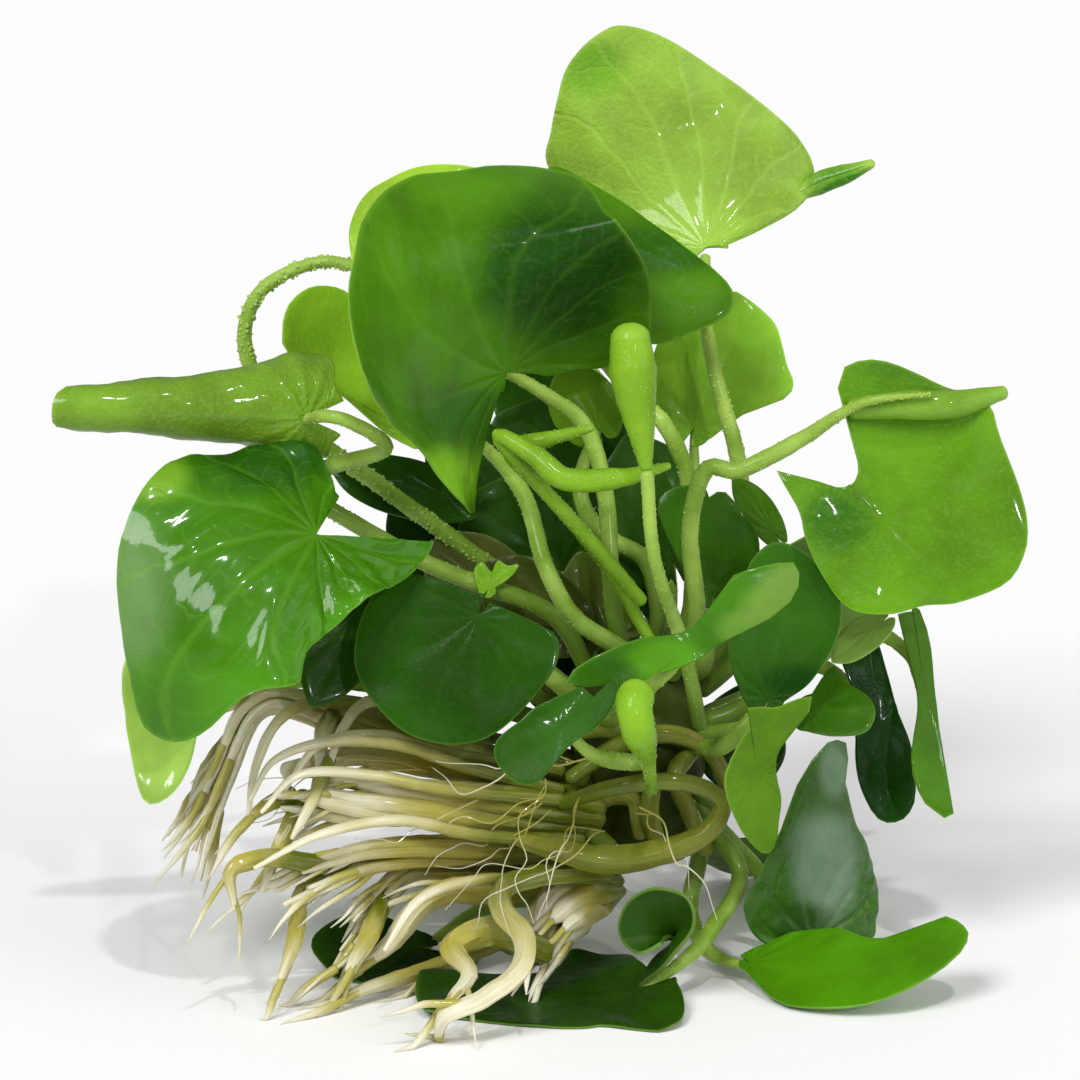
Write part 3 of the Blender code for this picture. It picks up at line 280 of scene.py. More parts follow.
# Leaves whose stem hardly shows: blade and stem are one piece.
CLOSE_LEAVES = {
    "low_right_leaf": dict(
        blade=dict(base=(750, 963, -8), via=(850, 972, -16), tip=(967, 933, -16), width=15,
            face=(0, 0.6, 0.8), rests=True, outline=[(745, 955), (762, 946), (795, 931), (836, 930),
            (869, 938), (905, 931), (933, 917), (949, 916), (962, 923), (969, 935), (962, 953),
            (938, 973), (898, 995), (841, 1008), (788, 1006), (759, 986), (745, 971)]),
        stem=[(700, 850, 4), (690, 910, 3), (710, 952, -2)]),
    "bottom_leaf": dict(
        blade=dict(base=(634, 990, -14), via=(540, 1003, -15), tip=(418, 981, -13), width=22,
            face=(0, 1, 0.3), rests=True, outline=[(655, 975), (677, 983), (684, 1000), (680, 1018),
            (661, 1030), (640, 1030), (601, 1026), (571, 1028), (457, 1018), (424, 1012), (417, 976),
            (439, 970), (549, 970), (574, 952), (619, 952), (640, 963)]),
        stem=[(740, 872, -4), (708, 934, -10), (682, 962, -13)],
        curl=((678, 938, -15), [(640, 986, -14), (668, 962, -18), (694, 926, -21), (686, 898, -22),
            (655, 888, -22), (627, 905, -21), (619, 932, -20), (638, 954, -20), (662, 944, -20)])),
    "ridge_leaf": dict(
        blade=dict(base=(566, 262, -3), tip=(733, 298, -2), width=31, face=(0, 0.25, 1), left=(-30, -20),
            right=(-40, -30), notch=20, outline=[(540, 235), (538, 195), (552, 167), (589, 183),
            (639, 211), (683, 244), (716, 271), (732, 290), (731, 310), (716, 323), (683, 337),
            (655, 344), (600, 335), (558, 308)]),
        stem=[(692, 600, 2), (690, 490, 0), (668, 430, -2), (640, 400, 0), (598, 350, 2)]),
    "cup_leaf": dict(
        blade=dict(base=(418, 430, -6), via=(352, 366, -3), tip=(302, 293, -8), width=20,
            face=(0.3, 0.2, 1), left=(40, 30), right=(40, 30), notch=22, outline=[(436, 422), (415, 395),
            (395, 360), (375, 325), (350, 294), (325, 285), (303, 291), (288, 310), (284, 335),
            (290, 356), (335, 391), (365, 414), (395, 437), (414, 448)]),
        stem=[(625, 652, -10), (575, 618, -14), (545, 565, -16), (522, 492, -12), (470, 437, -7)]),
    "broad_left_leaf": dict(
        blade=dict(base=(316, 535, -30), via=(215, 612, -38), tip=(166, 734, -33), width=42,
            face=(-0.15, 0.25, 1), left=(-15, -10), right=(-20, -15), ruffle=1.2, notch=28,
            outline=[(345, 527), (400, 532), (430, 541), (421, 564), (373, 597), (328, 632), (306, 655),
            (298, 683), (252, 691), (208, 729), (175, 741), (142, 729), (127, 680), (116, 582),
            (124, 540), (146, 492), (190, 453), (250, 443), (310, 452), (335, 490)]),
        stem=[(520, 652, -12), (430, 600, -15), (352, 550, -22)]),
    "pale_leaf": dict(
        blade=dict(base=(165, 700, -12), tip=(150, 803, -14), width=16, face=(-0.2, 0, -1),
            outline=[(190, 660), (201, 690), (197, 735), (189, 768), (172, 794), (149, 803), (136, 778),
            (123, 701), (125, 660), (150, 638)]),
        stem=[(480, 705, 1), (330, 680, -6), (210, 690, -9)]),
    "small_dark_leaf": dict(
        blade=dict(base=(368, 600, -13), tip=(312, 702, -17), width=10),
        stem=[(520, 686, -5), (440, 630, -12)]),
    "round_leaf": dict(
        blade=dict(base=(478, 616, -23), tip=(412, 740, -24), width=24, face=(0, 0.15, 1), notch=14,
            outline=[(492, 603), (532, 621), (557, 638), (552, 672), (525, 708), (487, 737), (443, 745),
            (402, 732), (371, 701), (355, 667), (357, 635), (367, 605), (385, 582), (409, 574),
            (443, 580), (472, 594)]),
        stem=[(556, 682, -14)]),
    "channel_leaf": dict(
        blade=dict(base=(692, 648, -34), tip=(794, 576, -32), width=11, face=(0.2, 0.3, 1), left=(25, 10),
            right=(15, 5), notch=2, outline=[(566, 682), (572, 670), (590, 658), (640, 639), (683, 632),
            (708, 610), (727, 581), (745, 571), (786, 562), (798, 568), (797, 590), (775, 616),
            (721, 643), (697, 660), (662, 674), (614, 683), (572, 688)]),
        stem=[(604, 708, -17), (650, 686, -26)]),
    "slant_leaf": dict(
        blade=dict(base=(562, 726, -38), tip=(508, 776, -40), width=9, face=(0.2, 0.4, 1), left=(20, 10),
            right=(20, 10), notch=2, outline=[(616, 680), (580, 687), (539, 705), (518, 722), (501, 735),
            (494, 748), (498, 765), (515, 782), (532, 785), (543, 778), (570, 746), (590, 732),
            (611, 711), (619, 688)]),
        stem=[(640, 762, -19), (596, 756, -32)]),
    "strip_leaf": dict(
        blade=dict(base=(926, 700, 2), tip=(944, 818, 0), width=7, face=(0.3, 0, 1), notch=3,
            outline=[(918, 604), (930, 640), (936, 700), (941, 744), (952, 788), (951, 818), (934, 811),
            (920, 797), (911, 760), (917, 700), (908, 655), (894, 616)]),
        stem=[(760, 690, 6), (850, 632, 8), (905, 650, 6)]),
    "far_right_leaf": dict(
        blade=dict(base=(880, 722, 10), tip=(895, 820, 8), width=10, face=(0.2, 0, 1), notch=4,
            outline=[(876, 634), (887, 672), (896, 707), (911, 744), (916, 790), (911, 810), (898, 821),
            (880, 820), (865, 799), (856, 770), (854, 700), (841, 656), (856, 634)]),
        stem=[(740, 720, 10), (805, 665, 14), (855, 690, 14)]),
    "twisted_leaf": dict(
        blade=dict(base=(812, 712, -8), tip=(872, 716, -10), width=11, face=(0, 0.5, 0.8),
            outline=[(812, 695), (832, 668), (841, 677), (850, 686), (867, 696), (875, 708), (873, 722),
            (862, 733), (830, 736), (800, 730)]),
        stem=[(740, 730, -6)]),
    "mid_right_leaf": dict(
        blade=dict(base=(768, 698, -14), tip=(796, 548, -16), width=21, face=(0, 0.2, 1), left=(35, 20),
            right=(35, 20), outline=[(784, 702), (812, 680), (838, 635), (838, 588), (822, 568),
            (800, 550), (775, 544), (752, 562), (738, 600), (728, 650), (744, 700), (758, 714)]),
        stem=[(725, 745, -12)]),
    "inner_right_leaf": dict(
        blade=dict(base=(712, 592, -4), tip=(692, 488, -4), width=18, face=(0, 0.2, 1),
            outline=[(722, 602), (755, 570), (758, 537), (742, 512), (722, 490), (711, 498), (698, 485),
            (672, 488), (658, 503), (662, 525), (682, 568), (700, 602)]),
        stem=[(705, 660, -2)]),
    "pointed_leaf": dict(
        blade=dict(base=(774, 532, 2), tip=(736, 480, 0), width=5, face=(0.3, 0.2, 1)),
        stem=[(735, 660, 3), (775, 600, 4)]),
    "small_pale_leaf": dict(
        blade=dict(base=(880, 624, -6), tip=(834, 660, -8), width=5, face=(0, 0.4, 0.8)),
        stem=[(735, 712, 0), (800, 672, 1), (862, 622, -1)]),
    "far_top_leaf": dict(
        blade=dict(base=(694, 428, 16), tip=(750, 298, 18), width=25, face=(0, 0.2, 1),
            outline=[(708, 440), (733, 422), (752, 410), (784, 399), (794, 384), (787, 364), (782, 345),
            (773, 322), (745, 298), (728, 292), (690, 305), (662, 335), (650, 372), (652, 405),
            (672, 442)]),
        stem=[(690, 620, 12), (694, 520, 15)]),
    "curved_leaf": dict(
        blade=dict(base=(757, 774, -24), tip=(768, 852, -20), width=10, face=(0.3, 0, 1), left=(30, 30),
            right=(30, 30), notch=4, outline=[(812, 698), (803, 722), (788, 738), (777, 757), (777, 777),
            (781, 799), (779, 821), (776, 843), (766, 854), (755, 847), (735, 819), (726, 786),
            (730, 764), (748, 731), (775, 709)]),
        stem=[(712, 800, -6), (736, 792, -14)]),
    "grey_leaf": dict(
        blade=dict(base=(815, 940, -3), via=(806, 850, -8), tip=(838, 738, -9), width=18,
            face=(0.2, 0.2, 1), left=(-20, -20), right=(-20, -20), outline=[(826, 952), (868, 940),
            (875, 912), (876, 882), (868, 850), (858, 828), (850, 799), (844, 775), (850, 746),
            (832, 740), (815, 755), (795, 792), (781, 832), (762, 869), (746, 898), (746, 918),
            (760, 940), (800, 952)]),
        stem=[(720, 830, 4), (766, 880, 4)]),
    "behind_roots_leaf": dict(
        blade=dict(base=(418, 948, 4), tip=(313, 946, 0), width=16, face=(0, 0.7, 0.7), rests=True,
            outline=[(422, 932), (380, 915), (345, 917), (318, 930), (311, 946), (324, 966), (350, 981),
            (385, 984), (415, 976)]),
        stem=[(582, 888, 14), (490, 906, 11)]),
    "small_bright_leaf": dict(
        blade=dict(base=(598, 428, 10), tip=(562, 370, 10), width=10),
        stem=[(658, 606, 3), (645, 560, 4), (610, 538, 4), (584, 508, 3), (582, 470, 5)]),
    "inner_left_leaf": dict(
        blade=dict(base=(560, 570, 12), tip=(472, 498, 11), width=20, face=(-0.2, 0.2, 1)),
        stem=[(600, 630, 8)]),
    "old_leaf": dict(
        blade=dict(base=(574, 680, 9), tip=(490, 618, 10), width=12, face=(-0.1, 0.4, 1), left=(20, 15),
            right=(20, 15)),
        stem=[(604, 694, 8)]),
    "centre_left_leaf": dict(
        blade=dict(base=(600, 500, 18), tip=(500, 420, 20), width=22, face=(-0.1, 0.2, 1)),
        stem=[(622, 600, 14)]),
    "centre_right_leaf": dict(
        blade=dict(base=(672, 560, 8), tip=(630, 440, 9), width=16, face=(0, 0.2, 1)),
        stem=[(668, 620, 8)]),
    "back_top_leaf": dict(
        blade=dict(base=(560, 330, 24), tip=(450, 230, 30), width=28, face=(0, 0.5, -1)),
        stem=[(655, 560, 26), (625, 420, 25)]),
    "back_left_leaf": dict(
        blade=dict(base=(450, 600, 28), tip=(300, 650, 36), width=28, face=(-0.3, 0.8, -0.6)),
        stem=[(560, 670, 18)]),
    "back_right_leaf": dict(
        blade=dict(base=(780, 590, 24), tip=(930, 560, 30), width=28, face=(0.2, 0.8, -0.6)),
        stem=[(700, 670, 14)]),
    "back_low_left_leaf": dict(
        blade=dict(base=(520, 850, 34), tip=(400, 868, 44), width=24, face=(0, 1, -0.3), rests=True),
        stem=[(600, 800, 18), (560, 820, 26)]),
    "back_low_right_leaf": dict(
        blade=dict(base=(740, 850, 30), tip=(850, 870, 40), width=24, face=(0, 1, -0.3), rests=True),
        stem=[(690, 800, 18)]),
}

# Young leaves still rolled: their route from the crown outwards, and radii in mm along it.
YOUNG_LEAVES = {
    "club_stem": dict(
        route=[(700, 725, -16), (684, 650, -22), (655, 560, -31), (647, 475, -34)],
        radii=(1.0, 1.0, 0.9, 0.9)),
    "club_leaf": dict(
        route=[(646, 466, -34), (641, 430, -34), (634, 380, -34), (630, 338, -34)],
        radii=(0.9, 1.8, 2.6, 3.2, 2.6)),
    "long_bud": dict(
        route=[(640, 600, -14), (590, 540, -20), (500, 440, -26), (535, 456, -28), (565, 479, -29),
            (620, 478, -29), (668, 466, -28)],
        radii=(1.0, 1.0, 1.0, 1.0, 1.0, 1.6, 1.5, 0.5)),
    "short_bud": dict(
        route=[(650, 640, -8), (606, 566, -12), (552, 500, -20), (510, 452, -22), (545, 440, -25),
            (592, 428, -24)],
        radii=(0.9, 0.9, 0.9, 0.9, 0.9, 1.3, 0.5)),
    "low_bud": dict(
        route=[(652, 790, -24), (648, 762, -36), (639, 732, -46), (634, 708, -47), (636, 696, -46)],
        radii=(0.8, 0.8, 0.9, 1.6, 2.3, 2.5)),
}

# Roots: the main root's route and radii in mm, and the branches that fork from it.
ROOTS = {
    "root_1": dict(
        main=([(592, 812, -8), (500, 808, -13), (400, 803, -17), (340, 798, -18), (278, 788, -18)],
            (3.4, 3.7, 3.5, 2.8, 1.7)),
        branches=[([(305, 797, -17), (278, 850, -19), (262, 890, -20)], (1.3, 1.2, 0.5)),
            ([(290, 795, -17), (262, 808, -19), (243, 826, -20)], (1.3, 1.0, 0.4))]),
    "root_2": dict(
        main=([(596, 846, -3), (450, 850, -11), (373, 857, -17), (320, 874, -20), (258, 902, -22)],
            (2.8, 2.5, 2.2, 1.8, 0.9)),
        branches=[([(345, 860, -18), (303, 893, -18), (295, 939, -19), (276, 990, -21)],
            (1.2, 1.2, 1.1, 0.4)), ([(320, 866, -20), (268, 858, -24), (231, 870, -26), (234, 904, -26)],
            (1.4, 1.3, 1.2, 0.4))]),
    "root_3": dict(
        main=([(585, 868, 6), (482, 872, -1), (412, 872, -8), (378, 905, -13), (352, 943, -16),
            (318, 967, -17)], (2.6, 2.7, 2.3, 1.7, 1.3, 0.5)),
        branches=[([(381, 902, -13), (370, 935, -17), (350, 970, -18)], (1.4, 1.4, 0.8))]),
    "root_4": dict(
        main=([(568, 770, 4), (450, 745, 2), (350, 720, -2), (262, 702, -5), (222, 774, -7),
            (201, 836, -8), (190, 886, -9)], (3.0, 3.0, 3.4, 2.4, 1.5, 1.2, 0.4)),
        branches=[([(245, 720, -5), (204, 775, -3), (187, 822, -3)], (1.3, 1.1, 0.4)), ([(332, 716, -4),
            (322, 738, -12), (320, 765, -15)], (1.4, 1.3, 0.7))]),
    "root_5": dict(
        main=([(604, 872, -12), (540, 876, -17), (504, 888, -21), (503, 912, -25), (524, 938, -29),
            (520, 970, -32), (482, 1000, -34), (445, 1017, -34), (437, 1044, -29.5)],
            (1.5, 1.5, 1.5, 1.5, 1.5, 1.4, 1.3, 1.1, 0.4)),
        branches=[]),
    "root_6": dict(
        main=([(612, 886, -1), (576, 900, -7), (556, 926, -12), (534, 962, -16)], (2.4, 4.4, 4.0, 2.2)),
        branches=[([(540, 950, -15), (490, 932, -21), (452, 948, -25), (470, 974, -29), (452, 998, -31)],
            (2.2, 2.2, 2.0, 1.3, 0.7))]),
    "root_7": dict(
        main=([(590, 886, 2), (495, 892, -7), (451, 891, -11), (420, 906, -13), (389, 945, -14),
            (358, 968, -14)], (2.0, 2.0, 1.9, 1.8, 1.5, 0.6)),
        branches=[]),
    "runner": dict(
        main=([(562, 804, -14), (610, 789, -19), (662, 782, -20), (700, 787, -19), (722, 804, -18),
            (708, 832, -18), (664, 852, -18), (610, 860, -18), (560, 850, -19), (514, 838, -17)],
            (0.8, 1.1, 1.2, 1.2, 1.3, 1.6, 1.8, 1.9, 1.6, 0.8)),
        branches=[]),
    "root_8": dict(
        main=([(578, 905, 8), (480, 950, 0), (430, 968, -8), (357, 992, -16), (318, 1016, -20)],
            (1.2, 1.2, 1.2, 1.0, 0.5)),
        branches=[]),
    "root_9": dict(
        main=([(580, 780, -5), (445, 767, -9), (357, 755, -9), (287, 770, -12)], (1.8, 1.8, 1.6, 1.2)),
        branches=[]),
}

# Leaves too small or too hidden for solids: a sprout and the withered and shaded ones in the
# clump's middle. Each has its colour, its pleats in mm and its blade. The shaded ones are dark
# sheets whose colour is painted shade.
REMNANTS = {
    "sprout": ((140, 196, 46), 0.1, dict(base=(488, 590, -9), tip=(502, 566, -9), width=6,
        face=(-0.2, 0.1, 1), outline=[(480, 594), (474, 572), (482, 562), (492, 572), (498, 560),
        (508, 566), (520, 564), (512, 576), (496, 588)])),
    "withered_left": ((84, 92, 40), 0.5, dict(base=(508, 596, 4), tip=(428, 548, 6), width=12,
        face=(-0.2, 0.2, 1), left=(15, 30), right=(10, 25))),
    "withered_low": ((66, 78, 22), 0.5, dict(base=(566, 628, 0), tip=(486, 568, 2), width=12,
        face=(-0.1, 0.2, 1), left=(10, 20), right=(20, 30))),
    "withered_middle": ((78, 98, 24), 0.5, dict(base=(610, 640, 3), tip=(580, 556, 4), width=11,
        face=(0.1, 0.2, 1), left=(20, 30), right=(15, 25))),
    "shaded_high": ((46, 96, 10), 0.2, dict(base=(604, 474, 19), tip=(500, 372, 21), width=14,
        face=(-0.1, 0.2, 1))),
    "shaded_left": ((30, 68, 6), 0.2, dict(base=(500, 596, 14), tip=(398, 500, 16), width=17,
        face=(-0.2, 0.2, 1))),
    "shaded_upper": ((34, 76, 8), 0.2, dict(base=(530, 500, 15), tip=(430, 436, 17), width=14,
        face=(-0.1, 0.2, 1))),
    "shaded_under": ((40, 88, 8), 0.2, dict(base=(450, 500, 8), tip=(336, 468, 10), width=9,
        face=(-0.1, 0.4, 1))),
    "shaded_centre": ((34, 72, 6), 0.2, dict(base=(640, 610, 13), tip=(600, 520, 15), width=14,
        face=(0, 0.2, 1))),
    "shaded_low": ((28, 62, 6), 0.2, dict(base=(560, 690, 8), tip=(560, 600, 12), width=13,
        face=(0, 0.3, 1))),
    "shaded_right": ((34, 74, 8), 0.2, dict(base=(740, 770, 8), tip=(742, 690, 10), width=13,
        face=(0.1, 0.2, 1))),
}

# Roots finer than any solid: their places and radii in mm, pale, olive and as thin as hair.
FINE_ROOT_RADII = (0.9, 0.9, 0.85, 0.7, 0.3)
FINE_ROOTS = [
    [(560, 790, -12), (470, 768, -16), (400, 745, -18), (330, 742, -18), (275, 760, -20), (250, 800, -22)],
    [(560, 770, -10), (440, 752, -14), (380, 735, -15), (320, 745, -17), (285, 790, -20)],
    [(560, 800, -14), (450, 790, -20), (370, 775, -22), (300, 775, -24), (262, 812, -26)],
    [(580, 840, -10), (480, 835, -20), (400, 820, -25), (320, 835, -26), (255, 868, -27)],
    [(420, 715, -4), (330, 700, -8), (280, 720, -14), (255, 770, -18), (248, 820, -20)],
    [(560, 880, -10), (480, 880, -18), (420, 900, -22), (385, 950, -24)],
    [(330, 760, -16), (318, 790, -20), (292, 838, -22)],
    [(470, 720, -8), (380, 700, -10), (345, 725, -14), (325, 780, -18)],
]
OLIVE_ROOT_RADII = (1.1, 1.35, 1.3, 1.2, 1.0)
OLIVE_ROOTS = [
    [(572, 778, -13), (606, 753, -12), (640, 736, -10), (682, 736, -9), (714, 758, -8), (732, 800, -6)],
    [(640, 736, -10), (600, 728, -11), (560, 736, -12), (520, 750, -12)],
    [(655, 778, -9), (650, 812, -10), (660, 850, -8)],
    [(700, 742, -6), (676, 774, -9), (690, 812, -8), (706, 850, -4)],
    [(610, 845, -10), (590, 826, -9), (604, 798, -8), (634, 800, -8), (640, 834, -8)],
]
HAIR_ROOTS = [
    [(545, 780, -20), (520, 823, -24), (507, 880, -28), (522, 925, -30)],
    [(575, 800, -20), (555, 875, -26), (530, 925, -30)],
    [(540, 800, -18), (450, 815, -20), (350, 830, -22)],
    [(545, 808, -18), (470, 850, -20), (430, 875, -22)],
    [(590, 760, -22), (545, 745, -24), (480, 760, -24), (440, 740, -22)],
    [(640, 810, -20), (690, 850, -20), (700, 880, -18)],
    [(600, 830, -20), (560, 870, -24), (500, 900, -26), (470, 930, -26)],
    [(420, 770, -14), (330, 760, -16), (262, 800, -18)],
]

# How each leaf looks: the screen colour of the side that shows, how raised its skin is, the
# height in mm of its pleats, and how warty its stem is.
PLAIN_LOOK = ((74, 126, 14), 0.7, 0.05, 0.3)
LEAF_LOOKS = {
    "top": ((152, 194, 66), 1.0, 0.12, 0.7), "hood": ((80, 137, 12), 0.8, 0.10, 0.5),
    "arched": ((168, 218, 54), 0.8, 0.05, 1.0), "rolled": ((126, 172, 44), 1.2, 0.0, 0.6),
    "right": ((98, 154, 14), 0.8, 0.06, 0.6), "low_right_leaf": ((77, 139, 8), 0.6, 0.15, 0.5),
    "bottom_leaf": ((40, 78, 8), 0.6, 0.05, 0.0), "ridge_leaf": ((78, 132, 9), 0.8, 0.12, 0.0),
    "cup_leaf": ((150, 204, 46), 0.7, 0.05, 0.5), "broad_left_leaf": ((74, 140, 12), 1.6, 0.9, 0.0),
    "pale_leaf": ((172, 216, 92), 0.2, 0.10, 0.0), "small_dark_leaf": ((44, 84, 12), 0.6, 0.0, 0.0),
    "round_leaf": ((38, 84, 6), 0.9, 0.12, 0.0), "channel_leaf": ((68, 130, 14), 0.15, 0.0, 0.0),
    "slant_leaf": ((46, 96, 10), 0.15, 0.0, 0.0), "strip_leaf": ((76, 128, 12), 0.15, 0.0, 0.0),
    "far_right_leaf": ((22, 66, 6), 0.15, 0.0, 0.0), "twisted_leaf": ((70, 124, 18), 0.6, 0.0, 0.0),
    "mid_right_leaf": ((53, 105, 18), 0.8, 0.05, 0.0), "inner_right_leaf": ((57, 108, 13), 0.7, 0.05, 0.0),
    "pointed_leaf": ((70, 118, 14), 0.5, 0.0, 0.0), "small_pale_leaf": ((150, 186, 84), 0.4, 0.0, 0.0),
    "far_top_leaf": ((142, 198, 50), 0.6, 0.05, 0.0), "curved_leaf": ((90, 136, 20), 0.3, 0.25, 0.5),
    "grey_leaf": ((58, 104, 26), 2.6, 0.5, 0.0), "behind_roots_leaf": ((36, 70, 10), 0.6, 0.0, 0.0),
    "small_bright_leaf": ((104, 152, 24), 0.6, 0.0, 0.0), "inner_left_leaf": ((44, 88, 10), 0.7, 0.0, 0.0),
    "old_leaf": ((78, 84, 26), 0.9, 0.1, 0.0), "centre_left_leaf": ((40, 80, 8), 0.7, 0.0, 0.0),
    "centre_right_leaf": ((44, 86, 10), 0.7, 0.0, 0.0),
}

# How far veins and lower sides are towards a pale green, how deep the upper side is where the
# lower one shows, and how rough each side is.
PALE_GREEN = (178, 206, 118)
PALE_VEIN = 0.28
PALE_LOWER = 0.32
DEEP_UPPER = 0.82
UPPER_ROUGH = 0.3
LOWER_ROUGH = 0.36

# Leaves seen from below, so that the colour is their lower side's.
LOWER_SHOWN = ("top", "rolled", "pale_leaf")

# Parts of a leaf in another green, most of them painted shade, painted sheen or painted light shining
# through, a few the leaf's own paler lower side or a leaf behind: their column and row, reach across
# and up in mm, and colour.
LEAF_PAINTED_LIGHT_AND_TONES = {
    "top": [(850, 178, 6.5, 3.5, (64, 134, 8)), (590, 60, 6, 5, (122, 178, 40))],
    # The hood: painted shade in its hollow and painted light shining through its lower lobe.
    "hood": [(560, 278, 14.5, 12, (30, 78, 8)), (470, 420, 9, 5, (56, 112, 8)),
             (450, 482, 6, 5, (146, 208, 46))],
    # Painted shade along the ridge leaf's upper part.
    "ridge_leaf": [(660, 250, 14, 4.5, (46, 98, 8))],
    # Painted sheen on the broad leaf's left, painted shadow of the rolled leaf over its top, and a bright
    # leaf behind.
    "broad_left_leaf": [(150, 590, 7, 11, (112, 152, 84)), (272, 452, 12, 7, (40, 94, 12)),
                        (175, 478, 5, 4, (122, 172, 40))],
    # The channel leaf's pale patches towards its end are its own lower side.
    "channel_leaf": [(658, 654, 6, 3.5, (88, 158, 16)), (733, 624, 4.5, 3, (106, 150, 50)),
                     (762, 602, 5, 3.4, (112, 154, 56)), (788, 580, 6, 4, (116, 156, 60)),
                     (600, 668, 5, 3, (52, 104, 12))],
    # Painted shade on the right leaf's left lobe and beside its roll.
    "right": [(825, 520, 6, 5, (62, 122, 12)), (900, 370, 9, 2.5, (76, 130, 12))],
    "slant_leaf": [(520, 765, 5, 4, (54, 96, 24))],
    "mid_right_leaf": [(790, 680, 6, 3, (30, 82, 14))],
    # Painted wet sheen down the grey leaf's middle and near its top, and a darker green at its lower left.
    "grey_leaf": [(822, 862, 5.5, 9.5, (122, 150, 122)), (830, 768, 2.6, 5, (112, 142, 108)),
                  (795, 918, 5, 3.5, (44, 84, 26))],
}

# How much of the veins shows, how grainy the skin is and how thick its wet coat, where a leaf
# isn't like the others.
PLAIN_VEINS = 0.05
VEIN_SHARES = {"top": 0.30, "hood": 0.12, "broad_left_leaf": 0.25, "pale_leaf": 0.0, "rolled": 0.0,
               "channel_leaf": 0.0, "slant_leaf": 0.0, "strip_leaf": 0.0, "far_right_leaf": 0.0,
               "curved_leaf": 0.0}
PLAIN_SPECKLE = 0.12
SPECKLES = {"top": 0.6, "rolled": 0.7, "right": 0.5, "arched": 0.4, "cup_leaf": 0.3, "grey_leaf": 0.35}
PLAIN_COAT = 0.12
COATS = {"broad_left_leaf": 0.35, "grey_leaf": 0.45, "right": 0.45, "top": 0.35, "rolled": 0.4}

# Light that passes through: its tint and how much of it.
LEAF_GLOW = (1.0, 0.92, 0.35, 1.0)
LEAF_GLOW_SHARE = 0.26
STEM_GLOW_SHARE = 0.15
ROOT_GLOW = (1.0, 0.97, 0.55, 1.0)
ROOT_GLOW_SHARE = 0.35

# Roots that aren't in the common root skin.
ROOT_SKINS = {"runner": "runner", "root_4": "pale_root", "root_5": "pale_root"}

# Light: the strength of the sky, and for each sun the way to it, its width in degrees and its
# strength. The floor reaches so many metres, and the sensor's width is in mm.
SKY = 0.33
SUNS = {
    "key": ((-0.38, -0.68, 0.68), 22, 2.0),
    "fill": ((0.75, -0.45, 0.45), 40, 0.7),
    "glint": ((0.1, -0.5, 0.85), 2, 0.65),
    "sparkle": ((0.3, -0.85, 0.42), 2, 0.45),
}
FLOOR_REACH = 6.0
SENSOR_WIDTH = 36.0


def spot(place):
    """The world position of (column, row, depth in mm)."""
    column, row, depth = place
    depth = depth * MM
    scale = UNIT * (1 + depth / EYE_DISTANCE)
    across = (column - PICTURE_MIDDLE) * scale
    up = (PICTURE_MIDDLE - row) * scale
    return MIDDLE + RIGHT * across + ABOVE * up + LOOK * depth


def seen(positions):
    """The columns and rows at which world positions are seen from in front."""
    away = positions - MIDDLE
    scale = UNIT * (1 + away @ LOOK / EYE_DISTANCE)
    return np.stack([PICTURE_MIDDLE + away @ RIGHT / scale, PICTURE_MIDDLE - away @ ABOVE / scale], -1)


def unit(vector):
    return vector / np.linalg.norm(vector)


def units(vectors):
    return vectors / np.linalg.norm(vectors, axis=-1, keepdims=True)


def raised(positions, lowest):
    """The positions, none of them lower than that."""
    positions[..., 2] = np.maximum(positions[..., 2], lowest)
    return positions


def smooth_route(points, count):
    """count positions evenly spaced along a smooth curve through the points."""
    points = np.array(points, float)
    ends = [2 * points[0] - points[1], 2 * points[-1] - points[-2]]
    padded = np.vstack([ends[0], points, ends[1]])
    t = np.arange(SPAN_SAMPLES)[:, None] / SPAN_SAMPLES
    fine = []
    for a, b, c, d in zip(padded, padded[1:], padded[2:], padded[3:]):
        square = (2 * a - 5 * b + 4 * c - d) * t**2
        cube = (3 * b - a - 3 * c + d) * t**3
        fine.extend(0.5 * (2 * b + (c - a) * t + square + cube))
    fine = np.array([*fine, points[-1]])
    steps = np.linalg.norm(np.diff(fine, axis=0), axis=1)
    along = np.concatenate([[0], np.cumsum(steps)])
    return looked_up(np.linspace(0, along[-1], count), along, fine)


def looked_up(wanted, along, rows):
    """The rows of numbers, known at each along, read at the wanted places between them."""
    return np.stack([np.interp(wanted, along, values) for values in rows.T], axis=-1)


def waves(points, length, seed):
    """A smooth irregular field between about -1 and 1, with features of that length."""
    rng = np.random.default_rng(seed)
    total = np.zeros(points.shape[:-1])
    for _ in range(WAVE_COUNT):
        way = rng.normal(size=points.shape[-1])
        way = way / np.linalg.norm(way) * 2 * math.pi / length * rng.uniform(*WAVE_PACES)
        total = total + np.sin(points @ way + rng.uniform(0, 2 * math.pi))
    return total / math.sqrt(WAVE_COUNT) / WAVE_SIZE


